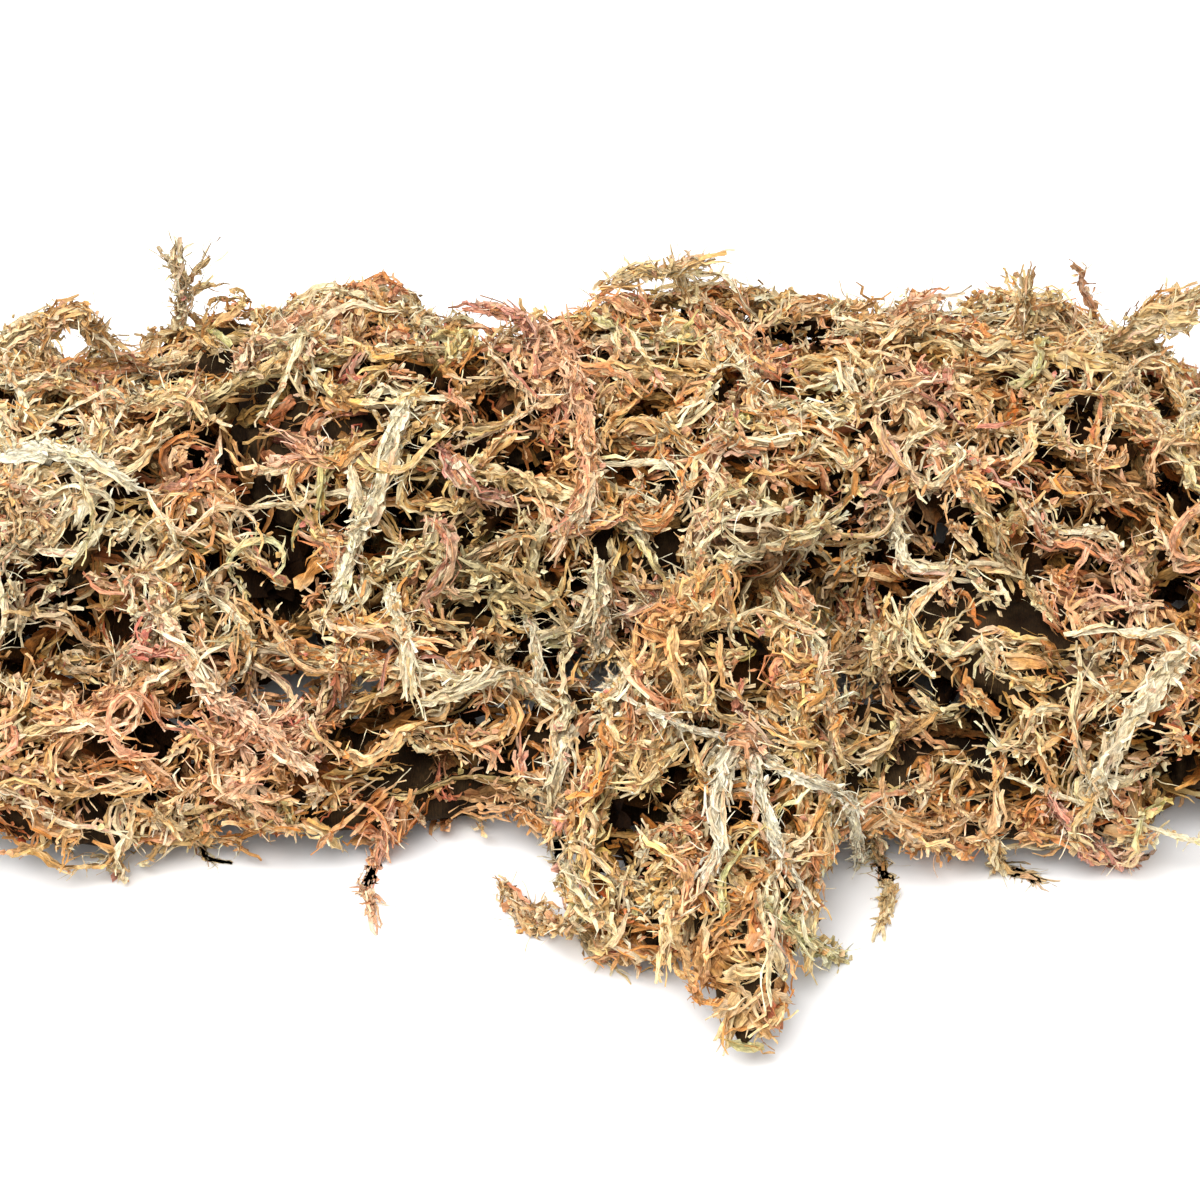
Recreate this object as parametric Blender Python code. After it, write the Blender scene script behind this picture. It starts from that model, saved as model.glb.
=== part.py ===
"""A clump of dried sphagnum moss: a long loose heap of matted tufts, single strands and stems.

Every piece is one closed solid. The pieces are laid one by one, each draped over the pieces
that are there already, so they cross, bridge and sag on each other with a hair's gap between.
"""
import math
import random
from collections import namedtuple

import bpy
import numpy as np

# The heap, in metres: X along it, Y away from its front, Z up
HEAP_LENGTH = 0.312
HEAP_DEPTH = 0.142
HEAP_HEIGHT = 0.054
END_ROUNDING = 6.0        # higher is blunter
OUTLINE_SQUARENESS = 4.0
CREST_SHIFT = 1.15        # over 1 puts the crest behind the middle
SLOPE_FULLNESS = 0.62
UNEVENNESS = 0.07         # ups and downs of its top, as a share of its height
LONG_WAVES = 41           # their turns in radians a metre, and where they start
LONG_START = 0.7
CROSS_WAVES = 38
CROSS_SLANT = 17
SHORT_WAVES = 83
SHORT_START = 1.1
SHORT_SHARE = 0.6         # height of the short waves beside the long ones
OUTLINE_POINTS = 721
OUTLINE_TANGENT = 0.02    # share of the outline, each way, over which its heading is read

# A thin spill of moss runs out over the floor in front of the heap
SPILL_AT_X = 0.020
SPILL_HALF_WIDTH = 0.024
SPILL_REACH = 0.048
SPILL_HEIGHT = 0.015
SPILL_OVERLAP = 0.012     # how far the spill starts inside the heap's front
SPILL_SHARE = 0.10        # share of the tries that aim at the spill

Spot = namedtuple("Spot", "beside share_out heading")   # from the spill's middle line and root

SPILL_TUFT_SPOTS = (Spot(-0.002, 0.20, 0.10), Spot(0.004, 0.52, 1.65))
SPILL_STRAND_SPOTS = (Spot(0.004, -0.22, 1.35), Spot(0.014, -0.34, 1.85),
                      Spot(-0.006, -0.26, 1.05))

# How pieces lie
CLEARANCE = 0.0003
PRESSED_FLAT = 0.80       # a piece on the floor stands this share of its half thickness up
CELL = 0.0004             # spacing of the height grid
NEAR_ENOUGH = 0.0000004   # by how little a piece may fall short of its clearance
GRID_MARGIN = 0.040
FINE_SAMPLES = 24         # along each triangle's edge
ROUGH_SAMPLES = 3
FINE_ROUNDS = 40
ROUGH_ROUNDS = 6
SMOOTHING_PASSES = 6
CANDIDATES = 40           # random places that are tried for each piece

# What makes one of those places worse: metres of room, height and depth, and shares of its line
OVER_WEIGHT = 1.5
HIGHEST_WEIGHT = 0.5
BURIAL_WEIGHT = 0.35
BEYOND_WEIGHT = 0.20
CROWD_WEIGHT = 0.006

SEED = 77

# Lengths, widths and thicknesses are ranges. bend is the radius of a piece's arches, taper
# says how bluntly it ends, and lumps how uneven it is.
Kind = namedtuple("Kind", "name count length width thickness sides rings bend taper lumps colour rough")

TUFT = Kind(name="tuft", count=26,
            length=(0.060, 0.082), width=(0.031, 0.040), thickness=(0.017, 0.023),
            sides=10, rings=11, bend=0.040, taper=3.2, lumps=0.14,
            colour=(0.52, 0.37, 0.20), rough=0.95)
SPILL_TUFT = Kind(name="spill_tuft", count=2,
                  length=(0.036, 0.044), width=(0.018, 0.022), thickness=(0.011, 0.014),
                  sides=8, rings=10, bend=0.035, taper=3.0, lumps=0.14,
                  colour=(0.60, 0.44, 0.25), rough=0.95)
STRAND = Kind(name="strand", count=25,
              length=(0.070, 0.120), width=(0.0065, 0.0100), thickness=(0.0055, 0.0080),
              sides=6, rings=14, bend=0.028, taper=2.6, lumps=0.14,
              colour=(0.78, 0.66, 0.44), rough=0.90)
STEM = Kind(name="stem", count=5,
            length=(0.055, 0.085), width=(0.0014, 0.0018), thickness=(0.0014, 0.0018),
            sides=5, rings=12, bend=0.040, taper=2.2, lumps=0.06,
            colour=(0.88, 0.80, 0.62), rough=0.80)
LAYING_ORDER = (TUFT, SPILL_TUFT, STRAND, STEM)
EDGE_TUFTS = 11           # laid first, along the outline
INNER_TUFTS = 6           # laid next, side by side across the space inside it
INNER_LENGTH = (0.050, 0.060)
INNER_PITCH = 0.039
INNER_SLANT = 0.30        # they lean left and right by turns
TURN_SPREAD = 0.25        # how far they turn off that line, in radians
TURN_PER_PIECE = 1.942    # the golden section of half a turn, so that headings never bunch
STRAIGHTEST = 0.2         # plan bend of a piece, as its turn in radians from end to end
MOST_BENT = 1.3
S_BEND_SHARE = 0.6        # an S-bend's largest turn, as a share of MOST_BENT
S_BEND_SWING = 0.35       # how far it swings the line, for each radian of that turn
CROWD_RADIUS = 0.014      # pieces of a kind are spread so that they seldom come this close
END_ROOM = 0.6            # share of a piece's length that the heap's ends leave free for it
END_RING_AT = 0.97        # an end ring's place on the way from a piece's middle to its end
SWELL_POWER = 0.6
WANDER_BLEND = (0.3, 0.4, 0.3)   # how far a ring's width follows its own and its neighbours' luck
BUMP_SHARE = 0.5          # unevenness round a ring, beside that from ring to ring
TIP_REACH = 0.5           # length of an end's point, in half widths


def clear_scene():
    for thing in list(bpy.data.objects):
        bpy.data.objects.remove(thing, do_unlink=True)


def heap_profile(x, y):
    """The height that the heap should reach at x, y, or 0 outside it."""
    along = np.clip(np.abs(x) / (HEAP_LENGTH / 2), 0, 1)
    across = np.clip((y + HEAP_DEPTH / 2) / HEAP_DEPTH, 0, 1)
    ends = (1 - along ** END_ROUNDING) ** 0.5
    slopes = np.sin(math.pi * across ** CREST_SHIFT) ** SLOPE_FULLNESS
    long_waves = np.sin(x * LONG_WAVES + LONG_START) * np.cos(y * CROSS_WAVES - x * CROSS_SLANT)
    waves = long_waves + SHORT_SHARE * np.sin(x * SHORT_WAVES - SHORT_START)
    heap = HEAP_HEIGHT * ends * slopes * (1 + UNEVENNESS * waves)
    into_spill = SPILL_OVERLAP - HEAP_DEPTH / 2 - y
    sideways = np.clip(1 - ((x - SPILL_AT_X) / SPILL_HALF_WIDTH) ** 2, 0, 1)
    forwards = np.clip(1 - (into_spill / SPILL_REACH) ** 2, 0, 1) * (into_spill > 0)
    return np.maximum(heap, SPILL_HEIGHT * np.sqrt(sideways * forwards))


def edge_spots():
    """Places and headings of the tufts along the heap's rounded outline, and their lengths."""
    inset = TUFT.width[1] / 2
    turn = np.linspace(0, 2 * math.pi, OUTLINE_POINTS)
    power = 2 / OUTLINE_SQUARENESS
    x = (HEAP_LENGTH / 2 - inset) * np.sign(np.cos(turn)) * np.abs(np.cos(turn)) ** power
    y = (HEAP_DEPTH / 2 - inset) * np.sign(np.sin(turn)) * np.abs(np.sin(turn)) ** power
    run = np.concatenate(([0], np.cumsum(np.hypot(np.diff(x), np.diff(y)))))
    for number in range(EDGE_TUFTS):
        at = (number + 0.5) / EDGE_TUFTS * run[-1]
        before = at - OUTLINE_TANGENT * run[-1]
        after = at + OUTLINE_TANGENT * run[-1]
        rise = np.interp(after, run, y) - np.interp(before, run, y)
        advance = np.interp(after, run, x) - np.interp(before, run, x)
        yield np.interp(at, run, x), np.interp(at, run, y), math.atan2(rise, advance), TUFT.length


def inner_spots():
    """A row of places along the heap's middle, each heading across it."""
    for number in range(INNER_TUFTS):
        slant = INNER_SLANT * (-1) ** number
        x = (number - (INNER_TUFTS - 1) / 2) * INNER_PITCH
        yield x, 0, math.pi / 2 + slant, INNER_LENGTH


def spill_spots(kind, spots):
    """Where pieces of the spill lie, outwards from the heap's front, or behind it if share_out < 0."""
    for spot in spots:
        y = -HEAP_DEPTH / 2 - spot.share_out * SPILL_REACH
        yield SPILL_AT_X + spot.beside, y, spot.heading, kind.length


class HeightGrid:
    """The top of everything that is laid so far, on a square grid."""

    def __init__(self):
        self.low_x = -HEAP_LENGTH / 2 - GRID_MARGIN
        self.low_y = -HEAP_DEPTH / 2 - SPILL_REACH - GRID_MARGIN
        columns = int((HEAP_LENGTH + 2 * GRID_MARGIN) / CELL) + 1
        rows = int((HEAP_DEPTH + SPILL_REACH + 2 * GRID_MARGIN) / CELL) + 1
        self.top = np.zeros((columns, rows))
        self.spread = np.zeros((columns, rows))

    def cells(self, points):
        column = ((points[..., 0] - self.low_x) / CELL).astype(int)
        row = ((points[..., 1] - self.low_y) / CELL).astype(int)
        column = np.clip(column, 0, self.top.shape[0] - 1)
        row = np.clip(row, 0, self.top.shape[1] - 1)
        return column, row

    def add(self, points):
        np.maximum.at(self.top, self.cells(points), points[..., 2])
        padded = np.pad(self.top, 1)
        columns, rows = self.top.shape
        shifted = [padded[i:i + columns, j:j + rows] for i in range(3) for j in range(3)]
        self.spread = np.max(shifted, axis=0)

    def under(self, points):
        """The height that each point has to clear, with a cell's width to spare."""
        return self.spread[self.cells(points)]


def plan_curve(rng, kind, length, start_x, start_y, heading):
    """Points on the floor plan along a gently turning line, an arc or an S."""
    turn = rng.uniform(STRAIGHTEST, MOST_BENT) * rng.choice((-1, 1))
    second_turn = rng.uniform(-MOST_BENT, MOST_BENT) * S_BEND_SHARE
    share = np.linspace(0, 1, kind.rings)
    angle = heading + turn * (share - 0.5) + second_turn * np.sin(2 * math.pi * share) * S_BEND_SWING
    step = length / (kind.rings - 1)
    middle = (angle[1:] + angle[:-1]) / 2
    x = np.concatenate(([0], np.cumsum(np.cos(middle)))) * step
    y = np.concatenate(([0], np.cumsum(np.sin(middle)))) * step
    return np.stack((x - x.mean() + start_x, y - y.mean() + start_y), axis=1)


class Piece:
    """One swept solid: a plan curve, a changing section, and a height for each ring."""

    def __init__(self, rng, kind, length, x, y, heading):
        self.kind = kind
        self.plan = plan_curve(rng, kind, length, x, y, heading)
        share = np.linspace(-1, 1, kind.rings) * END_RING_AT
        swell = (1 - np.abs(share) ** kind.taper) ** SWELL_POWER
        wander = np.array([rng.uniform(-1, 1) for _ in range(kind.rings)])
        swell *= 1 + kind.lumps * np.convolve(wander, WANDER_BLEND, "same")
        self.half_width = swell * rng.uniform(*kind.width) / 2
        self.half_thickness = swell * rng.uniform(*kind.thickness) / 2
        steps = np.linalg.norm(np.diff(self.plan, axis=0), axis=1)
        self.run = np.concatenate(([0], np.cumsum(steps)))
        self.bumps = 1 + kind.lumps * BUMP_SHARE * np.array(
            [[rng.uniform(-1, 1) for _ in range(kind.sides)] for _ in range(kind.rings)])
        self.height = self.floor_heights()

    def floor_heights(self):
        return PRESSED_FLAT * self.half_thickness

    def vertices(self):
        """The rings' corners, and a tip beyond each end ring. Nothing reaches below the floor."""
        centre = np.column_stack((self.plan, self.height))
        tangent = np.gradient(centre, axis=0)
        tangent /= np.linalg.norm(tangent, axis=1, keepdims=True)
        side = np.column_stack((tangent[:, 1], -tangent[:, 0], np.zeros(len(tangent))))
        side /= np.linalg.norm(side, axis=1, keepdims=True)
        up = np.cross(side, tangent)
        sides = self.kind.sides
        angle = -math.pi / 2 + math.pi / sides + 2 * math.pi * np.arange(sides) / sides
        sideways = self.half_width[:, None] * np.cos(angle)[None, :] * self.bumps
        upwards = self.half_thickness[:, None] * np.sin(angle)[None, :] * self.bumps
        rings = (centre[:, None, :] + sideways[..., None] * side[:, None, :]
                 + upwards[..., None] * up[:, None, :])
        reach = TIP_REACH * self.half_width[[0, -1]][:, None]
        tips = centre[[0, -1]] + tangent[[0, -1]] * reach * np.array([[-1], [1]])
        points = np.concatenate((rings.reshape(-1, 3), tips))
        points[:, 2] = np.maximum(points[:, 2], 0)
        return points

    def triangles(self):
        """Corner numbers of each triangle, and the first ring of the strip that it is in."""
        sides, rings = self.kind.sides, self.kind.rings
        corners, strips = [], []
        for ring in range(rings - 1):
            for k in range(sides):
                a = ring * sides + k
                b = ring * sides + (k + 1) % sides
                corners += [(a, b + sides, b), (a, a + sides, b + sides)]
                strips += [ring, ring]
        first_tip, last_tip = rings * sides, rings * sides + 1
        last_ring = (rings - 1) * sides
        for k in range(sides):
            after = (k + 1) % sides
            corners += [(k, after, first_tip), (last_ring + after, last_ring + k, last_tip)]
            strips += [0, rings - 2]
        return np.array(corners), np.array(strips)


def spread_points(points, corners, steps):
    """Evenly spread points on every triangle, as (triangle, sample, xyz)."""
    weights = np.array([(i, j, steps - i - j) for i in range(steps + 1)
                        for j in range(steps + 1 - i)]) / steps
    return np.einsum("sw,twx->tsx", weights, points[corners])


def sag(piece, least):
    """The lowest smooth line over the least heights: it arches over each and hangs between."""
    gaps = piece.run[:, None] - piece.run[None, :]
    line = np.max(least[None, :] - gaps ** 2 / (2 * piece.kind.bend), axis=1)
    line = np.maximum(line, least)
    for _ in range(SMOOTHING_PASSES):
        ends = np.concatenate(([2 * line[0] - line[1]], line, [2 * line[-1] - line[-2]]))
        line = np.maximum(least, 0.25 * ends[:-2] + 0.5 * ends[1:-1] + 0.25 * ends[2:])
    return line


def drape(piece, grid, rounds, steps):
    """Set the piece's ring heights so that it lies on what is under it."""
    corners, strips = piece.triangles()
    least = piece.floor_heights()
    for _ in range(rounds):
        piece.height = sag(piece, least)
        samples = spread_points(piece.vertices(), corners, steps)
        under = grid.under(samples)
        short = np.where(under > 0, under + CLEARANCE - samples[..., 2], 0).max(axis=1)
        if short.max() < NEAR_ENOUGH:
            break
        lift = np.zeros(piece.kind.rings)
        np.maximum.at(lift, strips, short)
        np.maximum.at(lift, strips + 1, short)
        least = np.where(lift > 0, np.maximum(least, piece.height + lift), least)


def settle(piece, grid):
    """Let the whole piece down by the least room that is left under it."""
    samples = spread_points(piece.vertices(), piece.triangles()[0], FINE_SAMPLES)
    under = grid.under(samples)
    room_above_moss = np.where(under > 0, samples[..., 2] - under - CLEARANCE, math.inf).min()
    room_above_floor = (piece.height - piece.floor_heights()).min()
    piece.height -= max(0, min(room_above_moss, room_above_floor))


def crowding(piece, laid):
    """The share of a piece's line that runs close beside pieces of its own kind."""
    others = [other.plan for other in laid if other.kind is piece.kind]
    if not others or piece.kind is TUFT:
        return 0
    apart = piece.plan[:, None, :] - np.concatenate(others)[None, :, :]
    return (np.hypot(apart[..., 0], apart[..., 1]) < CROWD_RADIUS).sum(axis=1).mean()


def misfit(piece, grid, laid):
    """How badly a draped piece suits the heap: room under it, height over the heap's profile,
    how deep the moss below it is, reach beyond the heap, and crowding."""
    centre = np.column_stack((piece.plan, piece.height))
    under = grid.top[grid.cells(centre)]
    room = np.clip(piece.height - piece.half_thickness - under, 0, None)
    wanted = heap_profile(piece.plan[:, 0], piece.plan[:, 1])
    over = np.clip(piece.height + piece.half_thickness - wanted, 0, None)
    beyond = (wanted < piece.half_thickness).mean()
    return (room.mean() + OVER_WEIGHT * over.mean() + HIGHEST_WEIGHT * over.max()
            + BURIAL_WEIGHT * under.mean() + BEYOND_WEIGHT * beyond
            + CROWD_WEIGHT * crowding(piece, laid))


def random_piece(rng, kind, heading):
    length = rng.uniform(*kind.length)
    x = rng.uniform(-0.5, 0.5) * (HEAP_LENGTH - END_ROOM * length)
    y = rng.uniform(-0.5, 0.5) * HEAP_DEPTH
    if rng.random() < SPILL_SHARE:
        x = SPILL_AT_X + rng.uniform(-1, 1) * SPILL_HALF_WIDTH
        y = -HEAP_DEPTH / 2 - rng.random() * SPILL_REACH
    return Piece(rng, kind, length, x, y, heading + rng.uniform(-TURN_SPREAD, TURN_SPREAD))


def best_fitting(rng, kind, grid, laid):
    """The piece that suits the heap best, out of several random ones of one heading."""
    heading = TURN_PER_PIECE * len(laid)
    best, least_misfit = None, math.inf
    for _ in range(CANDIDATES):
        piece = random_piece(rng, kind, heading)
        drape(piece, grid, ROUGH_ROUNDS, ROUGH_SAMPLES)
        value = misfit(piece, grid, laid)
        if value < least_misfit:
            best, least_misfit = piece, value
    return best


def lay_pieces():
    """All pieces in the order that they are laid, with their names."""
    rng = random.Random(SEED)
    grid = HeightGrid()
    spots = {TUFT: list(edge_spots()) + list(inner_spots()),
             SPILL_TUFT: list(spill_spots(SPILL_TUFT, SPILL_TUFT_SPOTS)),
             STRAND: list(spill_spots(STRAND, SPILL_STRAND_SPOTS))}
    named = []
    for kind in LAYING_ORDER:
        for number in range(1, kind.count + 1):
            if spots.get(kind):
                x, y, heading, lengths = spots[kind].pop(0)
                heading += rng.uniform(-TURN_SPREAD, TURN_SPREAD)
                piece = Piece(rng, kind, rng.uniform(*lengths), x, y, heading)
            else:
                piece = best_fitting(rng, kind, grid, [piece for _, piece in named])
            drape(piece, grid, FINE_ROUNDS, FINE_SAMPLES)
            settle(piece, grid)
            grid.add(spread_points(piece.vertices(), piece.triangles()[0], FINE_SAMPLES))
            named.append((f"{kind.name}_{number:02d}", piece))
    return named


def material_for(kind):
    material = bpy.data.materials.new(f"dried_moss_{kind.name}")
    material.use_nodes = True
    shader = material.node_tree.nodes["Principled BSDF"]
    shader.inputs["Base Color"].default_value = (*kind.colour, 1)
    shader.inputs["Roughness"].default_value = kind.rough
    shader.inputs["Metallic"].default_value = 0
    return material


def add_object(name, points, corners, material):
    """A solid with its origin on the floor, under its middle."""
    place = points.mean(axis=0)
    place[2] = 0
    mesh = bpy.data.meshes.new(name)
    mesh.from_pydata((points - place).tolist(), [], corners.tolist())
    mesh.materials.append(material)
    mesh.shade_smooth()
    mesh.update()
    thing = bpy.data.objects.new(name, mesh)
    thing.location = place
    bpy.context.scene.collection.objects.link(thing)


def build():
    """Lay all the pieces, then put the middle of their box at the origin, on the floor."""
    clear_scene()
    named = lay_pieces()
    everything = np.concatenate([piece.vertices() for _, piece in named])
    middle = (everything.min(axis=0) + everything.max(axis=0)) / 2
    middle[2] = 0
    materials = {kind.name: material_for(kind) for kind in LAYING_ORDER}
    for name, piece in named:
        corners, _ = piece.triangles()
        add_object(name, piece.vertices() - middle, corners, materials[piece.kind.name])


build()
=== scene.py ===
"""The look of a clump of dried sphagnum moss.

Every tuft, strand and stem of the frame is replaced by a detailed piece in the same place, and
loose shoots, needles and curled fibres lie over them. A shoot is a rope of ragged papery plies
with leaves and branchlets. All shoots run over one smooth field, which is the blurred solid of
the whole clump, so they bridge the gaps between tufts and leave dark holes between each other.
Painted shade darkens what lies deep in the clump and in those holes.
"""
import itertools
import math
from collections import namedtuple

import bpy
import numpy as np
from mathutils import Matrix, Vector


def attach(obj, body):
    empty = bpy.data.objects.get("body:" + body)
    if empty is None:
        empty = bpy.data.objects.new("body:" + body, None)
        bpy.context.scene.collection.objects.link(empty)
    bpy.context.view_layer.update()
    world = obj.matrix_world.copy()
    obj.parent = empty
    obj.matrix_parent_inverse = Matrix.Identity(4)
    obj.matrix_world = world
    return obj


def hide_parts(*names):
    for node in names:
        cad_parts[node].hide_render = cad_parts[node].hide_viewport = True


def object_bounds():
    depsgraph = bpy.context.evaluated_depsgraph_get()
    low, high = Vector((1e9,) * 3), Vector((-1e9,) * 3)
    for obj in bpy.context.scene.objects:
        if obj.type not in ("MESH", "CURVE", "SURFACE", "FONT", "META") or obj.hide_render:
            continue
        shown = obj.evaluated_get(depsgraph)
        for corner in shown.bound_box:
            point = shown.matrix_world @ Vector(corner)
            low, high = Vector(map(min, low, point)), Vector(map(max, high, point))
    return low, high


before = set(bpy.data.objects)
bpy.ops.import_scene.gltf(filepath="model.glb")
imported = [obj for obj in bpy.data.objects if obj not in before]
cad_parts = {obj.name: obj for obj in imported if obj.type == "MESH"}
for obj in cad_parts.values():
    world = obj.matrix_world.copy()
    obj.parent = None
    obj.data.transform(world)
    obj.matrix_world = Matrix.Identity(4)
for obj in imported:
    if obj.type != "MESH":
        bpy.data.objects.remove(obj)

cad_box = [list(corner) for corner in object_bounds()]

MM = 0.001


def mm(low, high):
    """A range in millimetres."""
    return low * MM, high * MM


SEED = 11

# The field: the clump's solids on a grid, blurred
CELL = 1.5 * MM
FIELD_MARGIN = 15 * MM
BLUR_PASSES = 3
BLUR_REACH = 1            # cells each way in one pass
CLOSE_REACH = 6           # cells; gaps between solids up to twice as wide are closed first
LEVEL = 0.42              # the field's value on the surface that shoots follow
FILL_STEPS = 14           # points along a triangle's edge when a solid is filled

# The photograph's view
PHOTO_SIDE = 1200         # pixels
PIXELS_PER_MM = 5.0       # at the middle of the clump
VIEW_ELEVATION = 42       # degrees
LENS = 100                # mm, on a sensor of
SENSOR = 36
VIEW_TARGET = (0, 6.0 * MM, 25 * MM)

# Colours of dried sphagnum, as linear red, green and blue
CREAM = np.array((0.94, 0.82, 0.57))
STRAW = np.array((0.85, 0.63, 0.32))
TAN = np.array((0.72, 0.42, 0.17))
ORANGE = np.array((0.74, 0.37, 0.13))
SALMON = np.array((0.84, 0.46, 0.27))
PINK = np.array((0.74, 0.32, 0.25))
BRICK = np.array((0.42, 0.13, 0.08))
GREEN = np.array((0.74, 0.70, 0.36))
# a dark brown used only as painted shade: deep in the clump, in the holes, on the tuft bodies and on the
# felt wads
SHADE_UMBER = np.array((0.080, 0.028, 0.004))
WHITE = np.array((0.94, 0.87, 0.67))
BRIGHTEST = (0.94, 0.92, 0.86)     # no surface is brighter
PALETTE = np.stack([CREAM, STRAW, TAN, ORANGE, SALMON, PINK, BRICK, GREEN])
LEAF_SHARES = np.array([0.27, 0.23, 0.17, 0.12, 0.13, 0.05, 0.01, 0.02])

# Ropes
RING_END = 1.001          # keeps a place just short of a rope's last ring
LINE_EASING = 2           # rounds of smoothing of a line over the clump
NODE_EASING = 6           # and of a line through a node
LEAST_RINGS = 8
FLOOR_GAP = 0.15 * MM     # the least height of any corner
LEVEL_ROUNDS = 4          # steps by which a point finds the level surface
LEAST_SLOPE = 15          # of the field, for such a step
LOWEST_START = 0.5 * MM   # of a shoot
STEEPEST_START = -0.35    # the outward direction's Z where a shoot may start
ROPE_LEAF = mm(0.8, 2.0)   # a leaf's length
LEAF_WIDTH = (0.30, 0.60)          # half of it, as a share of the length
LEAF_SPREAD = 1.9         # how far round a rope from its top its leaves grow, in radians
WISP_SPREAD = 2.0
LEAF_LEAN = (0.1, 0.9)    # how far a leaf leans out from the rope, in radians
FORWARD = 0.8             # share of bark and leaves that point to the rope's tip
WISP_FORWARD = 0.75

# How unlike one another they are
PLY_RAGGED = 0.40         # of a ply's width
PLY_SLIDE = 0.35 * MM     # of its corners along it
PLY_FURROW_SHADE = np.array([1.0, 0.78, 1.0])   # painted shade across a ply, which is darker in its furrow
PALE_EDGE = 0.5
BARK_SPREAD = 2.1         # how far round a rope from its top its bark starts, in radians
BARK_NEAR = (0.25, 1.0)   # a strip's distance from the rope's middle, in radii
BARK_RAGGED = (0.45, 1.35)   # each side's width, as a share of the strip's
WISP_RAGGED = (0.6, 1.3)
OTHER_COLOUR = 0.75       # the most that a strip differs from its rope
ROOT_SHADE_POWER = 1.35         # painted shade: colours are darker and purer at a strip's root, by the rope
SHADE_POWER_FALL = 0.40         # and less so by this much at its end
ROOT_SHADE_LIGHT = 0.88
SHADE_LIGHT_RISE = 0.16
STRIP_LIGHT = (0.74, 1.10)
CORNER_LIGHT = (0.85, 1.18)
LEAF_CORNER_SHADE = np.array([0.65, 1.05, 0.70, 1.05, 1.12, 1.12])   # painted shade on a leaf: darker at its base by the rope and at its dipped middle, lighter to the tip
LEAF_LIGHT = (0.65, 1.12)


class Noise:
    """Smooth random values from 0 to 1 in space, the same in every run."""

    def __init__(self, seed, size=32):
        self.size = size
        self.lattice = np.random.default_rng(seed).random((size, size, size))

    def at(self, points, scale):
        where = np.asarray(points) / scale
        cell = np.floor(where).astype(int)
        share = where - cell
        share = share * share * (3 - 2 * share)
        value = np.zeros(where.shape[:-1])
        for corner in itertools.product((0, 1), repeat=3):
            corner = np.array(corner)
            weight = np.prod(np.where(corner, share, 1 - share), axis=-1)
            index = (cell + corner) % self.size
            value += weight * self.lattice[index[..., 0], index[..., 1], index[..., 2]]
        return value


noises = [Noise(SEED + number) for number in range(6)]


def ridged(points, scale, noise):
    """Noise with sharp crests: 1 on a crest, 0 far from any."""
    return 1 - np.abs(2 * noise.at(points, scale) - 1)


def unit(vectors):
    return vectors / np.maximum(np.linalg.norm(vectors, axis=-1, keepdims=True), 1e-9)


def squared(vectors, normals):
    """Unit vectors made square to unit normals."""
    return unit(vectors - normals * np.sum(vectors * normals, axis=-1, keepdims=True))


def eased(values):
    """Values along the first axis, each inner one blended with its two neighbours."""
    inner = 0.25 * values[:-2] + 0.5 * values[1:-1] + 0.25 * values[2:]
    return np.concatenate((values[:1], inner, values[-1:]))


def node_mesh(name):
    """Corners and triangles of a CAD node."""
    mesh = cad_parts[name].data
    points = np.array([vertex.co for vertex in mesh.vertices], float)
    mesh.calc_loop_triangles()
    triangles = np.array([triangle.vertices for triangle in mesh.loop_triangles], int)
    return points, triangles


def spread_points(points, triangles, steps):
    """Evenly spread points on every triangle."""
    weights = np.array([(i, j, steps - i - j) for i in range(steps + 1)
                        for j in range(steps + 1 - i)]) / steps
    return np.einsum("sw,twx->tsx", weights, points[triangles]).reshape(-1, 3)


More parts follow.
